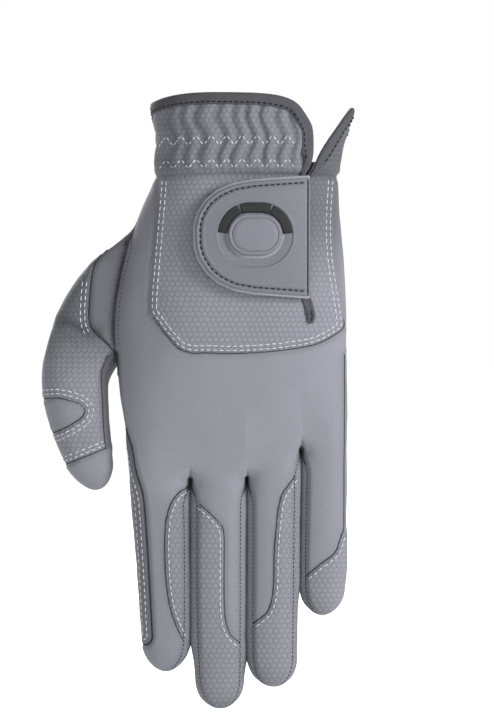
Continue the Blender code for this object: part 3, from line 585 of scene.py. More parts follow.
def point_normals(at):
    a, b, c3 = at[triangles[:, 0]], at[triangles[:, 1]], at[triangles[:, 2]]
    face_normals = np.cross(b - a, c3 - a)
    total = np.zeros_like(at)
    for k in range(3):
        np.add.at(total, triangles[:, k], face_normals)
    return total / np.maximum(np.linalg.norm(total, axis=1, keepdims=True), 1e-9)


# ---------------------------------------------------------------- outlines and seams, seen from the back
def polyline_distance(x, z, line, closed=False):
    """Distance to a line in the XZ plane. For a closed outline it is positive inside it."""
    ends = np.roll(line, -1, axis=0) if closed else line[1:]
    best = np.full(len(x), 1e9)
    inside = np.zeros(len(x), bool)
    for (x0, z0), (x1, z1) in zip(line, ends):
        dx, dz = x1 - x0, z1 - z0
        t = np.clip(((x - x0) * dx + (z - z0) * dz) / max(dx * dx + dz * dz, 1e-9), 0, 1)
        best = np.minimum(best, (x - x0 - t * dx) ** 2 + (z - z0 - t * dz) ** 2)
        if closed and z0 != z1:
            level = (z0 > z) != (z1 > z)
            inside ^= level & (x < x0 + (z - z0) * dx / dz)
    best = np.sqrt(best)
    return np.where(inside, best, -best) if closed else best


def edges_of(nodes, step=0.6, low=None, high=None):
    """Left and right edge of nodes seen from the back, as (x, z), from low to high."""
    low = low or min(box(n)[0][2] for n in nodes) + 0.1
    high = high or max(box(n)[1][2] for n in nodes) - 0.1
    lefts, rights = [], []
    for z in np.arange(low, high, step):
        p = cut(nodes, z)
        if len(p) > 3:
            lefts.append((p[:, 0].min(), z))
            rights.append((p[:, 0].max(), z))
    return np.array(lefts), np.array(rights)


def soften(line, times=4):
    line = line.copy()
    for _ in range(times):
        line[1:-1] = line[1:-1] / 2 + (line[:-2] + line[2:]) / 4
    return line


def offset(line, distance):
    """The line moved sideways, to the left of its direction for a positive distance."""
    ahead = np.gradient(line, axis=0)
    ahead /= np.maximum(np.linalg.norm(ahead, axis=1, keepdims=True), 1e-9)
    return line + distance * np.stack([-ahead[:, 1], ahead[:, 0]], 1)


def resample(line, step):
    length = np.concatenate([[0], np.cumsum(np.linalg.norm(np.diff(line, axis=0), axis=1))])
    at = np.linspace(0, length[-1], max(int(round(length[-1] / step)), 1) + 1)
    return np.stack([np.interp(at, length, line[:, k]) for k in range(line.shape[1])], 1)


panel_left, panel_right = edges_of(["upper_back_panel"], high=WRIST + 1)
bottom = []
low, high = box("upper_back_panel")
for x in np.arange(low[0] + 0.4, high[0] - 0.4, 0.8):
    bottom.append((x, cut(["upper_back_panel"], x, 0)[:, 2].min()))
bottom = np.array(bottom)
panel_line = np.concatenate(
    [
        panel_left[panel_left[:, 1] > bottom[0, 1] + 0.5][::-1],
        bottom,
        panel_right[panel_right[:, 1] > bottom[-1, 1] + 0.5],
    ]
)
panel_line = soften(resample(panel_line, 0.8), 3)
panel_outline = np.concatenate([panel_line, [[panel_line[-1, 0], WRIST + 3], [panel_line[0, 0], WRIST + 3]]])

patches, free_edges, seams = {}, {}, {}
SIDE_SEAM_TOP = 25.0  # the seam along the little finger's side shows on the back from here down
MEET = 3.6  # a patch's free edge turns into the finger's seam once it is this near to it


def finger_seam(name, side, pinch):
    """The seam along one side of a finger, up to the point between the fingers."""
    edges = edges_of([f"{name}_back_upper", f"{name}_back_lower"], 0.8, low=TIPS[name] + 1.2)
    edge = soften(edges[0 if side == "left" else 1][::-1])
    edge = edge[edge[:, 1] < pinch_z[pinch] - 0.3]
    near = smooth_step(9.0, 0.0, pinch_z[pinch] - edge[:, 1])
    edge[:, 0] = lerp(edge[:, 0], pinch_x[pinch], near)
    return np.concatenate([[[pinch_x[pinch], pinch_z[pinch] + 0.4]], edge])


for k, name in enumerate(NAMES):
    for side, pinch in (("left", k), ("right", k + 1)):
        if any(f"{name}_fourchette_{side}" in n for n in frame["nodes"]):
            seams[f"{name}_{side}"] = finger_seam(name, side, pinch)
    nodes = [n for n in frame["nodes"] if n.startswith(name + "_overlay")]
    lefts, rights = edges_of(nodes)
    free = (rights if name == "middle" else lefts)[::-1]
    left, right = SLEEVES[name].at(free[:, 1])[:2]
    share = (2 * free[:, 0] - left - right) / (right - left)
    free = free[np.abs(share) < 0.785]
    if name != "middle" and name != "little":
        other = seams[f"{name}_right"]
        start_z = free[0, 1] + 1.6
        start = [[np.interp(start_z, other[::-1, 1], other[::-1, 0]), start_z]]
        free = np.concatenate([start, free])
    if name == "index":
        free_edges[name] = soften(resample(free, 0.8), 3)
        patches[name] = np.concatenate([lefts, rights[::-1] + (0.5, 0)])
        continue
    seam = seams[f"{name}_{'right' if name == 'middle' else 'left'}"]
    gap = np.abs(free[:, 0] - np.interp(free[:, 1], seam[::-1, 1], seam[::-1, 0]))
    end = int(np.argmax((gap < MEET) & (np.arange(len(gap)) > 8)))
    meet_z = free[end, 1] - 0.75 * gap[end]
    meet = np.array([[np.interp(meet_z, seam[::-1, 1], seam[::-1, 0]), meet_z]])
    free_edges[name] = soften(resample(np.concatenate([free[:end], meet]), 0.8), 3)
    outside = 1 if name == "middle" else -1
    across_tip = np.array([[meet[0, 0] + outside * 3, meet_z - 0.5], [meet[0, 0] + outside * 3, TIPS[name] - 4]])
    far = (lefts if name == "middle" else rights)[0, 0] - outside * 8
    rest = np.array([[far, TIPS[name] - 4], [far, free[0, 1] + 1.0]])
    patches[name] = np.concatenate([free_edges[name], across_tip, rest])

z = np.arange(SIDE_SEAM_TOP, free_edges["little"][0, 1], -0.8)
side_x = np.where(z > ROOTS["little"], HAND.at(z)[1], SLEEVES["little"].at(z)[1]) - 1.1
little_side = np.concatenate([np.stack([side_x, z], 1), free_edges["little"][:1]])
seams["side"] = soften(resample(little_side, 0.8), 6)

wrap_hand = edges_of(["back_panel"], 0.8, low=ROOTS["index"] + 1.5, high=crotch_z)[0]
wrap_index = edges_of(["index_back_upper", "index_back_lower"], 0.8, low=TIPS["index"] + 3)[0]
wrap = soften(resample(np.concatenate([wrap_index, wrap_hand]), 0.8), 60)[::-1]
wrap_low = TIPS["index"] + DOME
wrap = wrap[wrap[:, 1] > wrap_low + 3]
turn_at = wrap[-1] - (3.4, 0)
bend = np.radians(np.arange(10, 96, 8))
wrap = np.concatenate([wrap, turn_at + np.stack([3.4 * np.cos(bend), -3.4 * np.sin(bend)], 1)])
seams["wrap"] = wrap
z = np.arange(thumb_top - 3.0, crotch_z + 1, -1.0)
seams["gusset_hand"] = np.stack([np.interp(z, gusset_z, gusset[-1][:, 1]), z], 1)
z = np.arange(crotch_z + 44, crotch_z - 0.1, -0.8)
thumb_line = np.stack([thumb_seam_x(z, -1), z], 1)
seams["thumb"] = soften(thumb_line, 2)


def inner_seam_x(z):
    """x of the seam along the thumb's inner side: the palm leather shows beyond it near the crotch."""
    under, reach = np.array(INNER_REACH).T
    return THUMB.at(z)[1] - np.interp(crotch_z - z, under, reach)


knuckle_low, knuckle_high = box("thumb_knuckle_patch")
lefts, rights = edges_of(["thumb_knuckle_patch"], 0.4)
knuckle_outline = np.concatenate([lefts - (4, 0), rights[::-1]])
knuckle_start = np.array([[THUMB.at(knuckle_high[2])[0] + 0.5, knuckle_high[2] - 0.9]])
knuckle_line = soften(resample(np.concatenate([knuckle_start, rights[::-1]]), 0.6), 3)
tip_left = np.array([THUMB.at(knuckle_low[2] - 11.0)[0] - 1, knuckle_low[2] - 12.5])
tip_right = np.array([THUMB.at(knuckle_low[2] - 5.0)[1] - 1.5, knuckle_low[2] - 5.5])
seams["thumb_tip"] = resample(np.array([tip_left, tip_right]), 0.8)
z = np.arange(crotch_z - 1.5, tip_right[1], -0.8)
seams["thumb_inner"] = np.stack([inner_seam_x(z), z], 1)
crease = resample(np.array(CREASE) + (bend_at[0], crotch_z), 0.8)

# ---------------------------------------------------------------- softer joins at the finger roots
points = np.concatenate(skin.points)
near_root = np.zeros(len(points))
near_root[back_index] = smooth_step(10, 0, points[back_index, 2] - root_z)
near_root[palm_index] = smooth_step(10, 0, points[palm_index, 2] - root_z)
for name in NAMES:
    rings = FINGER_RINGS[name][0]
    near_root[rings[1:]] = smooth_step(10, 0, points[rings[0], 2] - points[rings[1:], 2])
ends = np.array([(f[k], f[(k + 1) % len(f)]) for f in skin.faces for k in range(len(f))])
count = np.bincount(ends.ravel(), minlength=len(points))[:, None]
for _ in range(24):
    total_at = np.zeros_like(points)
    np.add.at(total_at, ends[:, 0], points[ends[:, 1]])
    np.add.at(total_at, ends[:, 1], points[ends[:, 0]])
    points += 0.5 * near_root[:, None] * (total_at / np.maximum(count, 1) - points)

# ---------------------------------------------------------------- fields and relief
x, z = points[:, 0], points[:, 2]
total = len(points)
hand_part = np.zeros(total, bool)
hand_part[back_index.ravel()] = True
hand_part[palm_index.ravel()] = True
thumb_part = np.zeros(total, bool)
thumb_part[thumb_index.ravel()] = True
thumb_part[thumb_pole] = True

patch = np.full(total, -5.0)
panel = polyline_distance(x, z, panel_outline, True)
panel = np.where(hand_part & on_back, panel, -5.0)
cuff = np.where(hand_part, z - WRIST - 1.0, -5.0)
patch = np.maximum(patch, np.maximum(panel, cuff))
finger_part = {}
leather = np.where(on_back, -5.0, 5.0)
for name in NAMES:
    index, degrees, pole = FINGER_RINGS[name]
    part = np.zeros(total, bool)
    part[index[1:].ravel()] = True
    part[pole] = True
    finger_part[name] = part
    inside = polyline_distance(x, z, patches[name], True)
    patch = np.where(part & on_back, inside, patch)
    degree = np.zeros(total)
    degree[index[1:, :-1]] = degrees[None, :]
    value = np.full(total, 5.0)
    if f"{name}_right" in seams:
        value = np.minimum(value, (degree - 38) * 0.17)
    if f"{name}_left" in seams:
        value = np.minimum(value, (142 - degree) * 0.17)
    leather = np.where(part & ~on_back, value, leather)
wrap_x = np.interp(z, wrap[::-1, 1], wrap[::-1, 0])
left_side = (finger_part["index"] | (hand_part & (z < crotch_z) & (x < -20))) & on_back
leather = np.where(left_side, np.minimum(wrap_x - x, z - wrap[-1, 1]), leather)
inner = np.where(z < crotch_z, x - inner_seam_x(z), -5.0)
inner = np.where(z < tip_right[1], -5.0, inner)
leather = np.where(thumb_part & on_back, inner, leather)
seam_x = thumb_seam_x(z, -1)
tip_z = np.interp(x, [tip_left[0], tip_right[0]], [tip_left[1], tip_right[1]])
on_thumb = np.minimum(z - tip_z, -polyline_distance(x, z, knuckle_outline, True))
on_thumb = np.minimum(on_thumb, np.where(z > crotch_z, seam_x - x, 5.0))
patch = np.where(thumb_part & on_back, on_thumb, patch)
leather = np.where(hand_part & (z > WRIST + 1), -5.0, leather)

relief, near_seam = np.zeros(total), np.full(total, 99.0)
relief += 0.5 * smooth_step(-0.4, 0.6, panel) + 0.9 * smooth_step(0.3, 2.6, cuff)
relief -= 0.7 * np.exp(-((cuff / 1.3) ** 2)) * hand_part
finger_any = sum(finger_part.values()) > 0
relief += np.where(finger_any & on_back, 0.25 * smooth_step(-0.5, 0.6, patch), 0)
for name, line in list(seams.items()) + [("panel", panel_line), ("knuckle", knuckle_line)]:
    mask = on_back & (thumb_part if "thumb" in name or name == "knuckle" else ~thumb_part)
    for finger in NAMES:
        if name.startswith(finger):
            mask &= finger_part[finger] | hand_part
    d = np.full(total, 99.0)
    d[mask] = polyline_distance(x[mask], z[mask], line)
    if name == "gusset_hand":
        relief += 0.35 * smooth_step(1.3, 0.8, d)
        continue
    relief += -0.5 * np.exp(-((d / 0.75) ** 2)) + 0.2 * np.exp(-(((d - 1.6) / 0.8) ** 2))
    near_seam = np.minimum(near_seam, d)
d = np.full(total, 99.0)
d[thumb_part & on_back] = polyline_distance(x[thumb_part & on_back], z[thumb_part & on_back], crease)
fold_shade = np.exp(-((d / 2.4) ** 2))
relief += -0.9 * np.exp(-((d / 1.5) ** 2)) + 0.3 * np.exp(-(((d - 3.2) / 1.4) ** 2))
for name, line in free_edges.items():
    mask = on_back & finger_part[name]
    d = np.full(total, 99.0)
    d[mask] = polyline_distance(x[mask], z[mask], line)
    relief -= 0.5 * np.exp(-((d / 0.75) ** 2))
    near_seam = np.minimum(near_seam, d)


for name in NAMES:
    relief[finger_part[name]] *= smooth_step(0.5, 5.0, z[finger_part[name]] - TIPS[name])


def noise_at(at, size, seed):
    return np.array([noise.noise(Vector(p) / size + Vector((seed, 0, 0))) for p in at])


pad_outline = hull(mesh_points("palm_pad")[:, [0, 2]])
palm_side = hand_part & ~on_back
pad = np.full(total, -9.0)
pad[palm_side] = polyline_distance(x[palm_side], z[palm_side], pad_outline, True)
relief += 0.7 * smooth_step(-0.4, 1.6, pad) - 0.35 * np.exp(-((pad / 0.6) ** 2))
for line in PALM_CREASES:
    line = resample(np.array(line, float), 1.0)
    for _ in range(8):
        line = soften(line, 1)
    d = np.full(total, 99.0)
    d[palm_side] = polyline_distance(x[palm_side], z[palm_side], line)
    relief += -0.55 * np.exp(-((d / 1.5) ** 2)) + 0.2 * np.exp(-(((d - 3.4) / 1.6) ** 2))
holes = np.zeros(total)
for name in NAMES:
    index, degrees, pole = FINGER_RINGS[name]
    middle_strip = np.abs(degrees - 90) < 30
    along = points[index[1:, 0], 2]
    inside = (along < ROOTS[name] - 8) & (along > TIPS[name] + 12)
    holes[index[1:, :-1]] = inside[:, None] & middle_strip[None, :]
flat = points * (1.0, 1.0, 0.6)
relief += 0.45 * noise_at(flat, 17.0, 3.0) + 0.12 * noise_at(points, 6.0, 9.0)
phase = 2 * np.pi * (x + 1.2 * np.sin(z * 0.4)) / 5.7
gather = smooth_step(0.5, 6.0, cuff) * np.where(hand_part, 1.0, 0.0)
grid_fade = np.ones(back_index.shape)
row_no = np.arange(len(back_index))[:, None]
grid_fade *= smooth_step(1, 7, row_no + 0 * across[None, :])
grid_fade *= smooth_step(2, 14, np.abs(np.arange(len(across)) - slit_column - 0.5))[None, :]
grid_fade *= np.where(across > 3.0, 0.3, 1.0)[None, :]
gather[back_index] *= grid_fade
gather[palm_index] *= smooth_step(1, 7, row_no) * 0.7
fold = np.sin(phase + 3.0 * noise_at(points * (1, 1, 0.35), 11.0, 5.0))
relief += gather * (0.62 * fold - 0.25 * fold**2 + 0.5 * noise_at(points * (1, 1, 0.4), 5.5, 8.0))

# ---------------------------------------------------------------- shades of the cloth, and painted shade in creases, along seams, between fingers and away from the light
tone_and_painted_shade = np.ones(total)
tone_and_painted_shade *= lerp(1.0, CUFF_TONE, smooth_step(-0.5, 1.5, cuff) * hand_part)
# painted shade over the whole thumb, which lies away from the light
tone_and_painted_shade *= np.where(thumb_part, THUMB_PAINTED_SHADE, 1.0)
tone_and_painted_shade *= lerp(1.0, THUMB_TOP_TONE, thumb_part * smooth_step(crotch_z - 8, crotch_z + 10, z))
tone_and_painted_shade *= np.where(thumb_part & (z > crotch_z) & (x > seam_x), GUSSET_TONE, 1.0)
# darker leather near the thumb's crotch: partly the leather's own colour, partly painted shade where thumb and hand
# meet
from_crotch = np.hypot(x - gusset[-1][0, 1], (z - crotch_z + 4) * 0.7)
tone_and_painted_shade *= 1 - 0.5 * np.exp(-((from_crotch / 6.5) ** 2)) * (thumb_part & (leather > -0.1))
# painted shade on the hand's left side, away from the light
tone_and_painted_shade *= lerp(1.0, LEFT_PAINTED_SHADE, hand_part * smooth_step(-8, -34, x) * smooth_step(0, 30, z))
# painted light and shade on the cuff's gathered folds: lighter on their crests, darker in their hollows
tone_and_painted_shade *= 1 + 0.09 * gather * fold
# painted shade on the sides of the fingers that press on a neighbour
for name in NAMES:
    index, degrees, pole = FINGER_RINGS[name]
    from_side = np.minimum(np.abs(degrees), 180 - np.abs(degrees))
    pressed = np.array([f"{name}_{'right' if abs(d) < 90 else 'left'}" in seams for d in degrees])
    tone_and_painted_shade[index[1:, :-1]] *= (1 - 0.4 * smooth_step(26, 6, from_side) * pressed)[None, :]
    # painted shade along the index finger, darker away from its root
    if name == "index":
        tone_and_painted_shade[index[1:, :-1]] *= lerp(1.0, INDEX_PAINTED_SHADE, smooth_step(0, 12, z[index[0, 0]] - z[index[1:, :-1]]))
flap_part = np.zeros(total)
flap_part[back_index[:, slit_column + 1 :]] = 1.0
tone_and_painted_shade *= lerp(1.0, FLAP_TONE, flap_part * smooth_step(-45, -10, z - WRIST))
# painted shade in the crease where the cuff meets the hand
tone_and_painted_shade *= 1 - 0.25 * np.exp(-((cuff / 1.0) ** 2)) * hand_part
# painted shade along the seams and in the thumb's fold
tone_and_painted_shade *= (1 - 0.16 * np.exp(-((near_seam / 1.6) ** 2))) * (1 - 0.28 * fold_shade)

# ---------------------------------------------------------------- weave coordinates
ROOT_ROWS = 10  # rows of the hand next to the fingers
weave = np.zeros((total, 3))
weave[:, 1] = z
for index, middle in [(back_index, 2 * ACROSS), (palm_index, 2 * ACROSS), (thumb_index[:, :-1], THUMB_ACROSS // 2)]:
    step = np.linalg.norm(np.diff(points[index], axis=1), axis=2)
    run = np.concatenate([np.zeros((len(index), 1)), np.cumsum(step, axis=1)], axis=1)
    weave[index, 0] = run - run[:, middle : middle + 1]
    if index.shape == back_index.shape:
        weave[index[-ROOT_ROWS:], 0] = weave[index[-ROOT_ROWS - 1], 0]  # the dips between fingers add no width
for k, name in enumerate(NAMES):
    index = FINGER_RINGS[name][0][:, :-1]
    step = np.linalg.norm(np.diff(points[index], axis=1), axis=2)
    run = np.concatenate([np.zeros((len(index), 1)), np.cumsum(step, axis=1)], axis=1)
    back_middle, palm_middle, hand_middle = ACROSS // 2, 3 * ACROSS // 2, k * ACROSS + ACROSS // 2
    u_back = run - run[:, back_middle : back_middle + 1] + weave[back_index[-1, hand_middle], 0]
    u_palm = run[:, palm_middle : palm_middle + 1] - run + weave[palm_index[-1, hand_middle], 0]
    on_palm = np.arange(run.shape[1]) > ACROSS
    weave[index[1:], 0] = np.where(on_palm, u_palm, u_back)[1:]

base_normals = point_normals(points)
points = points + base_normals * relief[:, None]
normals = point_normals(points)
tree = BVHTree.FromPolygons([Vector(p) for p in points], skin.faces)
face_labels = skin.face_labels


# ---------------------------------------------------------------- materials
def linear(*srgb):
    return [((v / 255 + 0.055) / 1.055) ** 2.4 if v > 10 else v / 255 / 12.92 for v in srgb]


class Nodes:
    """A material's node tree, with arithmetic on sockets."""

    def __init__(self, name, roughness=0.8, colour=(0.3, 0.3, 0.3)):
        self.material = bpy.data.materials.new(name)
        self.material.use_nodes = True
        self.tree = self.material.node_tree
        self.shader = self.tree.nodes["Principled BSDF"]
        self.shader.inputs["Roughness"].default_value = roughness
        self.shader.inputs["Base Color"].default_value = (*colour, 1)
        self.shader.inputs["Specular IOR Level"].default_value = 0.25

    def put(self, socket, value):
        if isinstance(value, (int, float)):
            socket.default_value = value
        elif isinstance(value, (tuple, list)):
            socket.default_value = value if len(value) == len(socket.default_value) else (*value, 1)
        else:
            self.tree.links.new(value, socket)

    def math(self, operation, *values):
        node = self.tree.nodes.new("ShaderNodeMath")
        node.operation = operation
        for socket, value in zip(node.inputs, values):
            self.put(socket, value)
        return node.outputs[0]

    def vector(self, operation, *values):
        node = self.tree.nodes.new("ShaderNodeVectorMath")
        node.operation = operation
        for socket, value in zip(node.inputs, values):
            self.put(socket, value)
        return node.outputs["Value"] if operation in ("DOT_PRODUCT", "LENGTH") else node.outputs[0]

    def attribute(self, name, output="Fac"):
        node = self.tree.nodes.new("ShaderNodeAttribute")
        node.attribute_name = name
        return node.outputs[output]

    def ramp(self, value, low, high, out_low=0.0, out_high=1.0):
        node = self.tree.nodes.new("ShaderNodeMapRange")
        node.interpolation_type = "SMOOTHSTEP"
        for socket, v in zip(node.inputs, (value, low, high, out_low, out_high)):
            self.put(socket, v)
        return node.outputs[0]

    def mix(self, factor, a, b):
        node = self.tree.nodes.new("ShaderNodeMix")
        node.data_type = "RGBA"
        sockets = [s for s in node.inputs if s.type == "RGBA"]
        self.put(node.inputs[0], factor)
        self.put(sockets[0], a)
        self.put(sockets[1], b)
        return [s for s in node.outputs if s.type == "RGBA"][0]

    def noise(self, vector, scale, detail=2.0):
        node = self.tree.nodes.new("ShaderNodeTexNoise")
        node.inputs["Scale"].default_value = scale
        node.inputs["Detail"].default_value = detail
        if vector is not None:
            self.put(node.inputs["Vector"], vector)
        return node.outputs["Fac"]

    def bump(self, height, distance, strength=1.0):
        node = self.tree.nodes.new("ShaderNodeBump")
        node.inputs["Distance"].default_value = distance * MM
        node.inputs["Strength"].default_value = strength
        self.put(node.inputs["Height"], height)
        self.tree.links.new(node.outputs[0], self.shader.inputs["Normal"])

    def place(self):
        return self.tree.nodes.new("ShaderNodeTexCoord").outputs["Object"]


def hexagons(n, uv, pitch):
    """0 on the grooves between hexagonal cells, 1 inside them."""
    scaled = n.vector("MULTIPLY", uv, (1 / pitch, 1 / pitch, 0))
    r, half = (1.0, math.sqrt(3), 1.0), (0.5, math.sqrt(3) / 2, 0.0)
    shifted = n.vector("ADD", scaled, (100.0, 100 * math.sqrt(3), 0.0))
    lengths, cells = [], []
    for move in ((0.0, 0.0, 0.0), half):
        cell = n.vector("SUBTRACT", n.vector("MODULO", n.vector("SUBTRACT", shifted, move), r), half)
        cells.append(cell)
        lengths.append(n.vector("LENGTH", cell))
    nearer = n.math("LESS_THAN", lengths[0], lengths[1])
    mixed = n.vector("ADD", n.vector("MULTIPLY", cells[0], n_vec(n, nearer)),
                     n.vector("MULTIPLY", cells[1], n_vec(n, n.math("SUBTRACT", 1.0, nearer))))
    size = n.vector("ABSOLUTE", mixed)
    along = n.vector("DOT_PRODUCT", size, (0.5, math.sqrt(3) / 2, 0.0))
    side = n.vector("DOT_PRODUCT", size, (1.0, 0.0, 0.0))
    edge = n.math("SUBTRACT", 0.5, n.math("MAXIMUM", along, side))
    return edge


def n_vec(n, value):
    node = n.tree.nodes.new("ShaderNodeCombineXYZ")
    for socket in node.inputs:
        n.put(socket, value)
    return node.outputs[0]


def cloth_material():
    n = Nodes("glove_cloth", 0.85, linear(140, 140, 149))
    uv = n.attribute("weave", "Vector")
    patch_value, leather_value = n.attribute("patch"), n.attribute("leather")
    is_patch = n.ramp(patch_value, -0.08, 0.08)
    is_leather = n.ramp(leather_value, -0.08, 0.08)
    edge = hexagons(n, uv, HEX_PITCH)
    cell = n.ramp(edge, -0.02, 0.15)
    knit_u = n.math("SINE", n.vector("DOT_PRODUCT", uv, (2 * math.pi / 0.75, 2 * math.pi / 1.5, 0.0)))
    knit_v = n.math("SINE", n.vector("DOT_PRODUCT", uv, (0.0, 2 * math.pi / 0.8, 0.0)))
    knit = n.math("MULTIPLY", n.math("ADD", knit_u, knit_v), 0.25)
    grain = n.noise(uv, 2.4, 4.0)
    plain = n.mix(n.ramp(grain, 0.3, 0.7), linear(*CLOTH_LOW), linear(*CLOTH_HIGH))
    honey = n.mix(cell, linear(*HONEY_LOW), linear(*HONEY_HIGH))
    hide = n.mix(n.ramp(grain, 0.3, 0.7), linear(*LEATHER_LOW), linear(*LEATHER_HIGH))
    colour = n.mix(is_patch, plain, honey)
    colour = n.mix(is_leather, colour, hide)
    hole = n.ramp(hexagons(n, uv, HOLE_PITCH), 0.5 - 0.45 / HOLE_PITCH, 0.5 - 0.2 / HOLE_PITCH)
    hole = n.math("MULTIPLY", hole, n.ramp(n.attribute("holes"), 0.4, 0.6))
    colour = n.mix(hole, colour, linear(30, 30, 33))
    # the cloth's own shades and its painted shade, multiplied into the colour
    shade = n.attribute("tone_and_painted_shade")
    colour = n.vector("MULTIPLY", colour, n_vec(n, shade))
    n.put(n.shader.inputs["Base Color"], colour)
    rough = n.math("SUBTRACT", 0.85, n.math("MULTIPLY", is_leather, 0.25))
    n.put(n.shader.inputs["Roughness"], rough)
    n.shader.inputs["Sheen Weight"].default_value = 0.1
    honey_height = n.math("MULTIPLY", n.ramp(edge, 0.0, 0.3), 0.8)
    plain_height = n.math("ADD", n.math("MULTIPLY", knit, 0.45), n.math("MULTIPLY", grain, 0.9))
    hide_height = n.math("MULTIPLY", grain, 0.6)
    height = n.math("ADD", n.math("MULTIPLY", honey_height, is_patch),
                    n.math("MULTIPLY", plain_height, n.math("SUBTRACT", 1.0, is_patch)))
    height = n.math("ADD", n.math("MULTIPLY", height, n.math("SUBTRACT", 1.0, is_leather)),
                    n.math("MULTIPLY", hide_height, is_leather))
    n.bump(height, 0.16, 0.8)
    return n.material


def plain_material(name, srgb, roughness, bump=0.0, scale=900.0, sheen=0.0):
    n = Nodes(name, roughness, linear(*srgb))
    n.shader.inputs["Sheen Weight"].default_value = sheen
    grain = n.noise(n.place(), scale, 2.0)
    shade = n.ramp(grain, 0.3, 0.7)
    low, high = [v * 0.9 for v in linear(*srgb)], [min(v * 1.1, 1) for v in linear(*srgb)]
    n.put(n.shader.inputs["Base Color"], n.mix(shade, low, high))
    if bump:
        n.bump(grain, bump, 0.6)
    return n.material


HEX_PITCH, HOLE_PITCH = 2.2, 4.2
CLOTH_LOW, CLOTH_HIGH = (122, 122, 130), (138, 138, 147)
HONEY_LOW, HONEY_HIGH = (110, 111, 118), (130, 131, 139)
LEATHER_LOW, LEATHER_HIGH = (98, 98, 105), (116, 116, 123)
CLOTH = cloth_material()
WHITE_THREAD = plain_material("white_thread", (205, 206, 212), 0.7)
DARK_THREAD = plain_material("dark_thread", (18, 18, 20), 0.7)
SEAM_SHADOW_CORD = plain_material("seam_shadow", (48, 48, 52), 0.9)
BINDING = plain_material("binding_tape", (74, 74, 79), 0.8, 0.1, 1500)
RUBBER = plain_material("moulded_rubber", (110, 110, 118), 0.55, 0.03, 2500)
BUTTON_RUBBER = plain_material("button_rubber", (115, 116, 124), 0.5, 0.02, 2500)
LINING = plain_material("tab_lining", (140, 140, 148), 0.8, 0.1, 1800)
DARK_RUBBER = plain_material("dark_rubber", (32, 32, 34), 0.45)
HOOKS = plain_material("hook_and_loop", (110, 110, 118), 0.95, 0.4, 1800)
ELASTIC = plain_material("elastic", (180, 180, 184), 0.9, 0.2, 1200)

# ---------------------------------------------------------------- pieces
REPLACED = {
    "hand_back": ["back_panel", "upper_back_panel", "cuff_back", "thumb_gusset"],
    "hand_palm": ["palm_panel", "cuff_palm", "palm_pad", "thumb_gusset_palm"],
    "thumb_upper": ["thumb_base", "thumb_back_upper", "thumb_palm_upper"],
    "thumb_lower": ["thumb_back_lower", "thumb_palm_lower", "thumb_knuckle_patch"],
}
for name in NAMES:
    for part in ("upper", "lower"):
        REPLACED[f"{name}_{part}"] = [n for n in frame["nodes"] if n.startswith(name) and n.endswith(part)]


def attach(obj, label):
    zone = ZONES[label]
    if len(zone) == 1:
        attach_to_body(obj, zone[0])
    else:
        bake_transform(obj)


def make(name, at, faces, material, label=None, body=None, normals_at=None, smooth=True):
    mesh = bpy.data.meshes.new(name)
    mesh.from_pydata((np.asarray(at) * MM).tolist(), [], faces)
    mesh.materials.append(material)
    if smooth:
        mesh.shade_smooth()
    if normals_at is not None:
        mesh.normals_split_custom_set_from_vertices(normals_at.tolist())
    obj = bpy.data.objects.new(name, mesh)
    bpy.context.scene.collection.objects.link(obj)
    if body:
        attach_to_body(obj, body)
    elif label:
        attach(obj, label)
    return obj


labels = np.array(face_labels)
for label in sorted(ZONES):
    faces = [skin.faces[i] for i in np.flatnonzero(labels == label)]
    used = np.unique(np.concatenate([np.array(f) for f in faces]))
    place = np.zeros(total, int)
    place[used] = np.arange(len(used))
    mesh = bpy.data.meshes.new(label + "_skin")
    mesh.from_pydata((points[used] * MM).tolist(), [], [[int(place[v]) for v in f] for f in faces])
    mesh.materials.append(CLOTH)
    mesh.shade_smooth()
    for field, values in (("patch", patch), ("leather", leather), ("tone_and_painted_shade", tone_and_painted_shade), ("holes", holes)):
        mesh.attributes.new(field, "FLOAT", "POINT").data.foreach_set("value", values[used].astype(np.float32))
    data = weave[used].astype(np.float32).ravel()
    mesh.attributes.new("weave", "FLOAT_VECTOR", "POINT").data.foreach_set("vector", data)
    mesh.normals_split_custom_set_from_vertices(normals[used].tolist())
    obj = bpy.data.objects.new(label + "_skin", mesh)
    bpy.context.scene.collection.objects.link(obj)
    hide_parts(*REPLACED[label])
    attach(obj, label)


# ---------------------------------------------------------------- threads and cords
class Bundle:
    """Small meshes gathered by material and by the piece of skin they lie on."""

    def __init__(self):
        self.parts = {}

    def add(self, kind, label, at, faces):
        points_, faces_ = self.parts.setdefault((kind, label), ([], []))
        start = sum(len(p) for p in points_)
        points_.append(at)
        faces_ += [[v + start for v in f] for f in faces]

    def build(self, materials, bodies=()):
        for (kind, label), (points_, faces_) in sorted(self.parts.items()):
            obj = make(f"{kind}_{label}", np.concatenate(points_), faces_, materials[kind][0])
            if label in ZONES:
                attach(obj, label)
            else:
                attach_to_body(obj, label)


bundle = Bundle()


def on_skin(line, side=-1, step=0.35):
    """Points, normals and piece names along a line drawn on the back (side -1) or the palm (side 1)."""
    line = resample(np.asarray(line, float), step)
    at, out, names = [], [], []
    for px, pz in line:
        hit = tree.ray_cast(Vector((px, side * 300.0, pz)), Vector((0, -side, 0)))
        if hit[0] is None or hit[1][1] * side < 0.12:
            continue
        at.append(hit[0][:])
        out.append(hit[1][:])
        names.append(face_labels[hit[2]])
    return np.array(at), np.array(out), names


PANEL_FOLD_TOP = 39.0  # below this height a dark cord of painted shadow marks the panel's folded edge
WRAP_SEWN_TOP = 0.0  # the rows beside the palm leather's wrap show below this height
SEGMENT_RINGS = ((-0.5, 0.35, -0.9), (-0.36, 0.85, -0.05), (0.0, 1.0, 0.35), (0.36, 0.85, -0.05), (0.5, 0.35, -0.9))


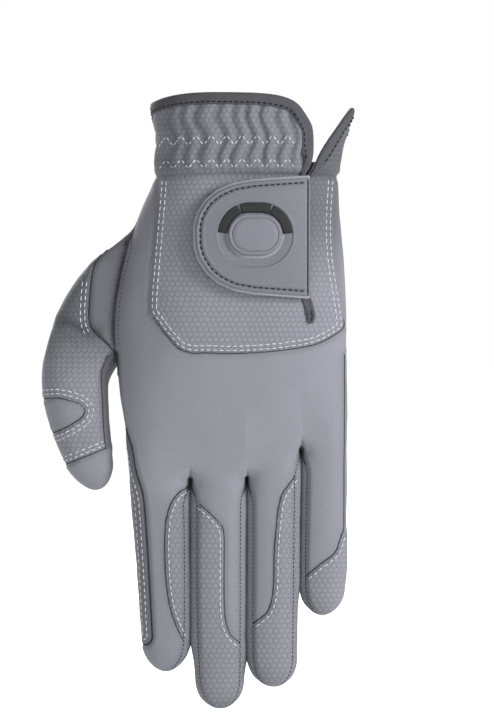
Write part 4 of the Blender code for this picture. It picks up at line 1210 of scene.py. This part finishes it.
def stitch_mesh(centre, along, out, length, radius):
    side = np.cross(out, along)
    vertices = []
    for reach, size, lift in SEGMENT_RINGS:
        for k in range(6):
            a = k * math.pi / 3
            vertices.append(
                centre + along * reach * length + side * math.cos(a) * radius * size
                + out * (math.sin(a) * radius * size * 0.8 + lift * radius)
            )
    faces = []
    for r in range(4):
        for k in range(6):
            n = (k + 1) % 6
            faces.append([r * 6 + k, r * 6 + n, r * 6 + 6 + n, r * 6 + 6 + k])
    faces += [[5, 4, 3, 2, 1, 0], [24, 25, 26, 27, 28, 29]]
    return vertices, faces


def unit(v):
    return v / np.maximum(np.linalg.norm(v, axis=-1, keepdims=True), 1e-9)


def unbroken(at, out, names, jump=1.6):
    """The points split where they jump from one surface to another."""
    first = 0
    for end in range(1, len(at) + 1):
        if end == len(at) or np.linalg.norm(at[end] - at[end - 1]) > jump:
            if end - first > 3:
                yield at[first:end], out[first:end], names[first:end]
            first = end


def stitches(kind, at, out, names, **sizes):
    for part in unbroken(at, out, names):
        stitch_row(kind, *part, **sizes)


def stitch_row(kind, at, out, names, pitch=2.45, length=1.7, radius=0.19, lift=0.1):
    run = np.concatenate([[0], np.cumsum(np.linalg.norm(np.diff(at, axis=0), axis=1))])
    count = int(run[-1] / pitch)
    if count < 1:
        return
    places = (np.arange(count) + 0.5) * run[-1] / count
    for s in places:
        i = int(np.clip(np.searchsorted(run, s), 1, len(run) - 1))
        half = length / 2
        a = np.array([np.interp(s - half, run, at[:, k]) for k in range(3)])
        b = np.array([np.interp(s + half, run, at[:, k]) for k in range(3)])
        if np.linalg.norm(b - a) > length * 1.6:
            continue
        normal = unit(out[i - 1] + out[i])
        vertices, faces = stitch_mesh((a + b) / 2 + normal * lift, unit(b - a), normal, length, radius)
        bundle.add(kind, names[i], vertices, faces)


def cord(kind, at, out, names, radius, lift=0.0, flatten=1.0):
    """A thin tube along the points, split where the piece of skin changes."""
    if len(at) < 3:
        return
    ahead = unit(np.gradient(at, axis=0))
    side = unit(np.cross(out, ahead))
    start = 0
    for end in range(1, len(at) + 1):
        if end < len(at) and names[end] == names[start] and np.linalg.norm(at[end] - at[end - 1]) < 3.0:
            continue
        stop = min(end + 1, len(at)) if end < len(at) and np.linalg.norm(at[end] - at[end - 1]) < 3.0 else end
        if stop - start > 1:
            vertices, faces = [], []
            for i in range(start, stop):
                for k in range(6):
                    a = k * math.pi / 3
                    vertices.append(at[i] + out[i] * (lift + math.sin(a) * radius * flatten)
                                    + side[i] * math.cos(a) * radius)
            for r in range(stop - start - 1):
                for k in range(6):
                    n = (k + 1) % 6
                    faces.append([r * 6 + k, r * 6 + n, r * 6 + 6 + n, r * 6 + 6 + k])
            last = (stop - start - 1) * 6
            faces += [[5, 4, 3, 2, 1, 0], [last + k for k in range(6)]]
            bundle.add(kind, names[start], vertices, faces)
        start = end


def sewn(line, insets, edge_radius=0.3, kind="white", **options):
    """A dark cord of painted seam shadow along a line, with rows of stitches at the insets (to the left of its
    direction).
    """
    if edge_radius:
        cord("shadow", *on_skin(line), edge_radius)
    for inset in insets:
        stitches(kind, *on_skin(offset(line, inset)), **options)


sewn(panel_line, (1.15, 2.7), 0)
cord("shadow", *on_skin(panel_line[panel_line[:, 1] < PANEL_FOLD_TOP]), 0.22)
for name, line in free_edges.items():
    inset = -1.5 if name == "middle" else 1.5
    sewn(line, (inset,), 0.22)
cord("shadow", *on_skin(wrap), 0.3)
for inset in (-2.0, -3.6):
    stitches("white", *on_skin(offset(wrap[wrap[:, 1] < WRAP_SEWN_TOP], inset)))
sewn(seams["thumb"], (), 0.3)
mid = seams["thumb"]
mid = mid[(mid[:, 1] > crotch_z + 8) & (mid[:, 1] < crotch_z + 27)]
for inset in (-1.7, -3.3):
    stitches("white", *on_skin(offset(mid, inset)))
sewn(seams["side"], (), 0.24)
sewn(knuckle_line, (), 0.2)
for inset in (1.7, 3.3):
    stitches("white", *on_skin(offset(knuckle_line, inset)))
sewn(seams["thumb_tip"], (1.3, 2.8), 0.2)
for line in (offset(seams["gusset_hand"], 1.25), offset(seams["gusset_hand"], -1.25)):
    stitches("dark", *on_skin(line), pitch=1.7, length=1.1, radius=0.13, lift=0.05)
sewn(seams["thumb_inner"], (), 0.2)
for name in seams:
    if name.split("_")[0] in NAMES:
        line = seams[name]
        cord("shadow", *on_skin(line[line[:, 1] > line[0, 1] - 7]), 0.22)
        stitches("dark", *on_skin(line), pitch=1.5, length=1.0, radius=0.16, lift=0.08)

# the palm side: pad, palm strips of the fingers, thumb
pad_line = np.vstack([pad_outline, pad_outline[:1]])
stitches("white", *on_skin(soften(resample(offset(pad_line, 1.6), 0.8), 3), 1))
cord("shadow", *on_skin(pad_line, 1), 0.2)
for name in NAMES:
    z = np.arange(ROOTS[name] - 4, TIPS[name] + 7, -0.8)
    left, right = SLEEVES[name].at(z)[:2]
    for side, degree in (("left", 142), ("right", 38)):
        if f"{name}_{side}" in seams:
            line = np.stack([(left + right) / 2 + (right - left) / 2 * power(math.cos(math.radians(degree))), z], 1)
            stitches("dark", *on_skin(line, 1), pitch=1.5, length=1.0, radius=0.16, lift=0.08)
z = np.arange(crotch_z + 30, crotch_z, -0.8)
palm_thumb = soften(np.stack([thumb_seam_x(z, 1), z], 1), 3)
cord("shadow", *on_skin(palm_thumb, 1), 0.2)
stitches("white", *on_skin(offset(palm_thumb, -1.6), 1))

# zigzag rows over the cuff's elastic
for node in ("wrist_elastic_lower", "wrist_elastic_upper"):
    low, high = box(node)
    centre = (low[2] + high[2]) / 2 - 0.2
    zig = [(xx, centre + (1.8 if k % 2 else -1.8)) for k, xx in enumerate(np.arange(-29.5, 24.0, 2.85))]
    for a, b in zip(zig[:-1], zig[1:]):
        a, b = np.array(a), np.array(b)
        stitches("white", *on_skin(np.array([a + (b - a) * 0.04, b - (b - a) * 0.04]), step=0.2),
                 pitch=1.75, length=1.45, radius=0.2)

# ---------------------------------------------------------------- tape over the edges of the opening
TAPE_WIDTH, TAPE_THICK = 4.1, 0.75


def edge_path(index):
    """Points, normals and inward directions along an edge of the skin, evenly spaced."""
    line = resample(np.hstack([points[index], normals[index]]), 0.8)
    at, out = line[:, :3], line[:, 3:]
    for _ in range(14):
        at[1:-1] = at[1:-1] / 2 + (at[:-2] + at[2:]) / 4
        out[1:-1] = out[1:-1] / 2 + (out[:-2] + out[2:]) / 4
    ahead = np.gradient(at, axis=0)
    inward = unit(np.cross(ahead, unit(out)))
    for _ in range(3):
        inward[1:-1] = inward[1:-1] / 2 + (inward[:-2] + inward[2:]) / 4
    return at, unit(out), unit(inward)


def on_tape(at, out, inward, share, width, height):
    """Points over the skin at a share of the tape's width from its edge."""
    placed = []
    for p, n, d, w in zip(at, out, inward, width):
        near = tree.find_nearest(Vector(p + d * max(share * w, 0)))
        base = np.array(near[0]) + d * min(share * w, 0)
        placed.append(base + n * height)
    placed = np.array(placed)
    for _ in range(3):
        placed[1:-1] = placed[1:-1] / 2 + (placed[:-2] + placed[2:]) / 4
    return placed


TAPE_SECTION = (
    (1.0, 0.0), (0.95, 0.5), (0.8, 0.7), (0.45, 0.75), (0.12, 0.75), (-0.08, 0.45), (-0.15, -0.3),
    (-0.08, -1.0), (0.12, -1.35), (0.6, -1.35), (0.95, -1.1), (1.0, -0.6),
)


def tape(name, index, width):
    """A folded tape round an edge, with one row of running stitches."""
    at, out, inward = edge_path(index)
    widths = width(at)
    columns = [on_tape(at, out, inward, share, widths, height) for share, height in TAPE_SECTION]
    grid = np.stack(columns, axis=1)
    count, sides = grid.shape[:2]
    faces = []
    for r in range(count - 1):
        for k in range(sides):
            n = (k + 1) % sides
            faces.append([r * sides + k, r * sides + n, (r + 1) * sides + n, (r + 1) * sides + k])
    last = (count - 1) * sides
    faces += [list(range(sides))[::-1], [last + k for k in range(sides)]]
    obj = make(name, grid.reshape(-1, 3), faces, BINDING, body="hand")
    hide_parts(name)
    row = on_tape(at, out, inward, 0.76, widths, 0.68)
    wide = widths > 0.8 * TAPE_WIDTH
    stitches("dark", row[wide], out[wide], ["hand"] * int(wide.sum()), pitch=2.1, length=1.65, radius=0.25)


slit_end = int(np.argmax(back_z[:, slit_column] < slit_low))
down = [int(v) for v in back_index[1 : slit_end + 1, slit_column]]
up = [int(v) for v in back_index[: slit_end + 1, slit_column + 1]][::-1]
left_edge = [int(v) for v in back_index[0, : slit_column + 1]] + down
right_edge = up + [int(v) for v in back_index[0, slit_column + 2 :]]
palm_edge = [int(v) for v in palm_index[0, ::-1]]


def narrow_below(low_width):
    """The tape's width along the slit, narrow where the closure tab covers it."""
    return lambda at: lerp(low_width, TAPE_WIDTH, smooth_step(WRIST + 1, WRIST + 10, at[:, 2]))


tape("binding_back", left_edge, narrow_below(2.2))
tape("binding_slit", right_edge, narrow_below(1.5))
tape("binding_palm", palm_edge, lambda at: np.full(len(at), TAPE_WIDTH))

# the tape's loop at the low end of the slit
end_at = points[back_index[slit_end, slit_column]]
turns = np.radians(np.linspace(-60, 240, 22))
loop = np.stack([end_at[0] + 1.0 * np.cos(turns), np.full(len(turns), end_at[1] - 0.7),
                 end_at[2] - 0.6 - 2.2 * np.sin(turns)], 1)
cord("tape", loop, np.tile([0.0, -1.0, 0.0], (len(loop), 1)), ["hand"] * len(loop), 0.62)


# ---------------------------------------------------------------- closure tab and badge
def fitted(node, facing):
    """A smooth surface y(x, z) through the faces of a node that face one way along y."""
    polygons = frame["nodes"][node].data.polygons
    at = np.array([p.center[:] for p in polygons if p.normal[1] * facing > 0.6 and p.area > 1e-8]) / MM

    def terms(x, z):
        u, v = (x - 6) / 25, (z - 69) / 25
        return np.stack([u**i * v**j for i in range(6) for j in range(5)], -1)

    weights = np.linalg.lstsq(terms(at[:, 0], at[:, 2]), at[:, 1], rcond=None)[0]
    return lambda x, z: terms(x, z) @ weights


def plate(name, outline, front, back, material, body, rounding=0.4, steps=(26, 40), rim=0.2):
    """A closed sheet inside an outline. Front and back give y for x, z and the distance to the outline."""
    centre = outline.mean(axis=0)
    inset = np.concatenate([np.linspace(0, rim, steps[0]), np.linspace(rim, 1, steps[1])[1:]])
    grid = outline[None] + (centre - outline)[None] * inset[:-1, None, None]
    x, z = grid[:, :, 0].ravel(), grid[:, :, 1].ravel()
    d = np.maximum(polyline_distance(x, z, outline, True), 0)
    y_front, y_back = front(x, z, d), back(x, z, d)
    bulge = np.sqrt(1 - (1 - np.clip(d / rounding, 0, 1)) ** 2)
    middle = (y_front + y_back) / 2
    y_front, y_back = lerp(middle, y_front, bulge), lerp(middle, y_back, bulge)
    count, sides = grid.shape[:2]
    vertices = np.concatenate([np.stack([x, y_front, z], 1), np.stack([x, y_back, z], 1)[sides:]])
    c = np.array([[centre[0], f(centre[:1], centre[1:], np.array([9.0]))[0], centre[1]] for f in (front, back)])
    vertices = np.concatenate([vertices, c])
    faces = []
    for side in (0, 1):
        offset_ = 0 if side == 0 else (count - 1) * sides
        for r in range(count - 1):
            for k in range(sides):
                n = (k + 1) % sides
                a = r * sides if side == 0 or r == 0 else offset_ + r * sides
                b = offset_ + (r + 1) * sides
                face = [a + k, a + n, b + n, b + k]
                faces.append(face if side == 0 else face[::-1])
        b = offset_ + (count - 1) * sides
        top = len(vertices) - 2 + side
        for k in range(sides):
            face = [b + k, b + (k + 1) % sides, top]
            faces.append(face if side == 0 else face[::-1])
    obj = make(name, vertices, faces, material, body=body)
    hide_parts(name)
    return obj


TAB_ROOT = box("tab_outer")[1][0] - 1.9
TAB_FIT = np.array([0.975, 0.97])  # the sewn tab is a little smaller than its solid
LIP = 1.0  # how far the lining stands out past the tab's outer skin
STITCH_INSET = 2.75
tab_y = fitted("tab_outer", -1)
tab_thick = float(np.median(mesh_points("tab_lining")[:, 1]) - np.median(mesh_points("tab_outer")[:, 1]))


def clipped(outline, limit):
    outline = outline.copy()
    outline[:, 0] = np.minimum(outline[:, 0], limit)
    return outline


def rounded(outline, step, times=3):
    """The closed outline with even steps and softer corners."""
    line = resample(np.vstack([outline, outline[:1]]), step)[:-1]
    for _ in range(times):
        line = line / 2 + (np.roll(line, 1, axis=0) + np.roll(line, -1, axis=0)) / 4
    return line


tab_hull = hull(mesh_points("tab_lining")[:, [0, 2]])
tab_anchor = np.array([tab_hull[:, 0].max(), tab_hull[:, 1].mean() - 12])
tab_hull = tab_anchor + (tab_hull - tab_anchor) * TAB_FIT
lining_outline = rounded(clipped(tab_hull, TAB_ROOT), 0.45)
closed = np.vstack([lining_outline, lining_outline[:1]])
inner_outline = offset(closed, LIP)[:-1]
inner_outline = inner_outline[inner_outline[:, 0] < TAB_ROOT - LIP - 0.3]
start = int(np.argmax(np.linalg.norm(inner_outline - np.roll(inner_outline, 1, axis=0), axis=1)))
inner_outline = np.roll(inner_outline, -start, axis=0)
root_low, root_high = sorted([inner_outline[0], inner_outline[-1]], key=lambda p: p[1])
corners = np.array([(TAB_ROOT, root_low[1]), (TAB_ROOT, root_high[1])])
if inner_outline[0][1] > inner_outline[-1][1]:
    outer_outline = np.vstack([inner_outline, corners])
else:
    outer_outline = np.vstack([inner_outline, corners[::-1]])
sewn_edge = soften(resample(inner_outline, 0.6), 3)
outer_outline = rounded(outer_outline, 0.4, 2)

button_low, button_high = box("badge_button")
badge = (button_low + button_high)[[0, 2]] / 2 + (1.1, 1.8)
BUTTON, BUTTON_FLAT = 7.75, 2.35
TRACK_IN, TRACK_OUT, TRACK_FLAT = 8.1, 12.05, 2.0


def stadium(radius, flat, step=0.35):
    """Outline of a straight-sided oval about the badge's centre, anticlockwise."""
    a = np.radians(np.arange(-90, 90, 4))
    right = np.stack([flat + radius * np.cos(a), radius * np.sin(a)], 1)
    return rounded(badge + np.vstack([right, -right]), step, 1)


def stadium_radius(x, z, flat):
    return np.hypot(np.maximum(np.abs(x - badge[0]) - flat, 0), z - badge[1])


def tab_front(x, z, d):
    from_edge = polyline_distance(x, z, sewn_edge)
    height = -0.42 * np.exp(-(((from_edge - (STITCH_INSET - LIP)) / 0.5) ** 2))
    height += 0.16 * np.exp(-(((from_edge - (STITCH_INSET - LIP) - 1.2) / 0.5) ** 2))
    height += 0.12 * np.exp(-(((from_edge - 0.8) / 0.4) ** 2))
    r = stadium_radius(x, z, TRACK_FLAT)
    height -= (0.4 + 0.6 * smooth_step(TRACK_OUT, TRACK_IN, r)) * smooth_step(TRACK_OUT + 0.25, TRACK_OUT - 0.25, r)
    height += 0.1 * np.exp(-(((r - TRACK_OUT - 0.5) / 0.35) ** 2))
    height += -0.5 * np.exp(-(((TAB_ROOT - x - 0.9) / 0.35) ** 2))
    return tab_y(x, z) - height


def button_front(x, z, d):
    r = stadium_radius(x, z, BUTTON_FLAT)
    height = 0.55 + 0.35 * smooth_step(BUTTON, BUTTON - 0.5, r)
    height += -0.4 * np.exp(-(((r - 6.25) / 0.22) ** 2)) + 0.25 * smooth_step(6.2, 4.5, r)
    return tab_y(x, z) - height


plate("tab_lining", lining_outline, lambda x, z, d: tab_y(x, z) + 0.95, lambda x, z, d: tab_y(x, z) + 2.1,
      LINING, "tab", 0.5)
plate("tab_outer", outer_outline, tab_front, lambda x, z, d: tab_y(x, z) + 1.0, RUBBER, "tab",
      0.55, (34, 110), 0.25)
plate("badge_button", stadium(BUTTON, BUTTON_FLAT), button_front, lambda x, z, d: tab_y(x, z) + 0.5,
      BUTTON_RUBBER, "tab", 0.35, (24, 24), 0.4)

# dark inlay over the upper half of the track, in three raised grips
track = stadium((TRACK_IN + TRACK_OUT) / 2, (BUTTON_FLAT + TRACK_FLAT) / 2, 0.25)
track = track[track[:, 1] > badge[1] + 0.35]
track = track[np.argsort(-np.arctan2(track[:, 1] - badge[1], track[:, 0] - badge[0]))]
run = np.concatenate([[0], np.cumsum(np.linalg.norm(np.diff(track, axis=0), axis=1))])
vertices, faces = [], []
half_width = (TRACK_OUT - TRACK_IN) / 2 - 0.05
for k in range(3):
    low_run, high_run = run[-1] * k / 3 + 0.18 * (k > 0), run[-1] * (k + 1) / 3 - 0.18 * (k < 2)
    rows = np.linspace(low_run, high_run, 44)
    line = np.stack([np.interp(rows, run, track[:, 0]), np.interp(rows, run, track[:, 1])], 1)
    sides = np.linspace(-half_width, half_width, 17)
    first = len(vertices)
    for r, (s_at, p) in enumerate(zip(rows, line)):
        for w in sides:
            x_, z_ = offset(line, w)[r]
            rim = min(half_width - abs(w), s_at - low_run, high_run - s_at)
            high = 0.1 * math.sqrt(max(1 - (1 - min(rim / 0.35, 1)) ** 2, 0)) * 10 - 0.95
            vertices.append((x_, float(tab_y(np.array([x_]), np.array([z_]))[0]) - high, z_))
    for r in range(43):
        for c_ in range(16):
            a = first + r * 17 + c_
            faces.append([a, a + 17, a + 18, a + 1])
inlay = make("badge_inlay", vertices, faces, DARK_RUBBER, body="tab")
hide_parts("badge_inlay")


def on_tab(line, lift=0.0):
    at = np.stack([line[:, 0], tab_front(line[:, 0], line[:, 1], 9) - lift, line[:, 1]], 1)
    return at, np.tile([0.0, -1.0, 0.0], (len(at), 1)), ["tab"] * len(at)


row_sign = 1 if polyline_distance(offset(sewn_edge, 1.0)[40:41, 0], offset(sewn_edge, 1.0)[40:41, 1],
                                  outer_outline, True)[0] > 0 else -1
row = offset(sewn_edge, row_sign * (STITCH_INSET - LIP))
stitches("dark", *on_tab(row[row[:, 0] < TAB_ROOT - 1.5]), pitch=2.2, length=1.75, radius=0.25, lift=0.14)
root_line = np.stack([np.full(60, TAB_ROOT - 0.9), np.linspace(root_low[1] + 0.3, root_high[1] - 0.3, 60)], 1)
cord("shadow", *on_tab(root_line, 0.05), 0.26)

bundle.build({
    "white": (WHITE_THREAD, "stretch_fabric"),
    "dark": (DARK_THREAD, "stretch_fabric"),
    "shadow": (SEAM_SHADOW_CORD, "stretch_fabric"),
    "tape": (BINDING, "binding"),
})

# ---------------------------------------------------------------- camera, light and floor
scene = bpy.context.scene
scene.view_settings.view_transform = "Standard"
camera = bpy.data.objects.new("camera", bpy.data.cameras.new("camera"))
scene.collection.objects.link(camera)
low, high = np.array(cad_box[0]) / MM, np.array(cad_box[1]) / MM
centre = (low + high) / 2 + (18.99, 0, 15.73)
camera.location = Vector((centre[0], -1250.0, centre[2])) * MM
camera.rotation_euler = (math.radians(90), 0, 0)
camera.data.sensor_width = 36
camera.data.sensor_fit = "VERTICAL"
camera.data.sensor_height = 36
camera.data.lens = 36 * 1228 / 273.6
scene.camera = camera


def area(name, place, size, power, target=(0, 0, 10)):
    light = bpy.data.objects.new(name, bpy.data.lights.new(name, "AREA"))
    light.data.size = size
    light.data.energy = power
    light.location = place
    aim = Vector(target) * MM - Vector(place)
    light.rotation_euler = aim.to_track_quat("-Z", "Y").to_euler()
    scene.collection.objects.link(light)
    return light


area("key_light", (1.3, -1.0, 0.5), 0.6, 25.5)
area("fill_light", (0.1, -1.5, 0.0), 0.9, 6.5)
area("rear_light", (-0.7, 1.4, 0.9), 1.2, 38)
world = bpy.data.worlds.new("studio")
scene.world = world
world.use_nodes = True
tree_nodes, links = world.node_tree.nodes, world.node_tree.links
background = tree_nodes["Background"]
path = tree_nodes.new("ShaderNodeLightPath")
mix = tree_nodes.new("ShaderNodeMapRange")
mix.inputs[3].default_value, mix.inputs[4].default_value = 0.36, 1.0
links.new(path.outputs["Is Camera Ray"], mix.inputs[0])
links.new(mix.outputs[0], background.inputs["Strength"])
background.inputs["Color"].default_value = (1, 1, 1, 1)

floor_mesh = bpy.data.meshes.new("floor")
size, floor_z = 60.0, low[2] * MM - 0.002
floor_mesh.from_pydata([(-size, -size, floor_z), (size, -size, floor_z), (size, size, floor_z),
                        (-size, size, floor_z)], [], [[0, 1, 2, 3]])
floor = bpy.data.objects.new("floor", floor_mesh)
scene.collection.objects.link(floor)
floor_nodes = Nodes("floor", 1.0, (0.9, 0.9, 0.9))
floor_nodes.shader.inputs["Emission Color"].default_value = (1, 1, 1, 1)
seen = floor_nodes.tree.nodes.new("ShaderNodeLightPath").outputs["Is Camera Ray"]
floor_nodes.put(floor_nodes.shader.inputs["Emission Strength"], floor_nodes.ramp(seen, 0.0, 1.0, 0.1, 0.72))
floor_mesh.materials.append(floor_nodes.material)

for name in ("hook_patch", "loop_patch"):
    frame["nodes"][name].data.materials[0] = HOOKS
for name in ("wrist_elastic_lower", "wrist_elastic_upper"):
    frame["nodes"][name].data.materials[0] = ELASTIC
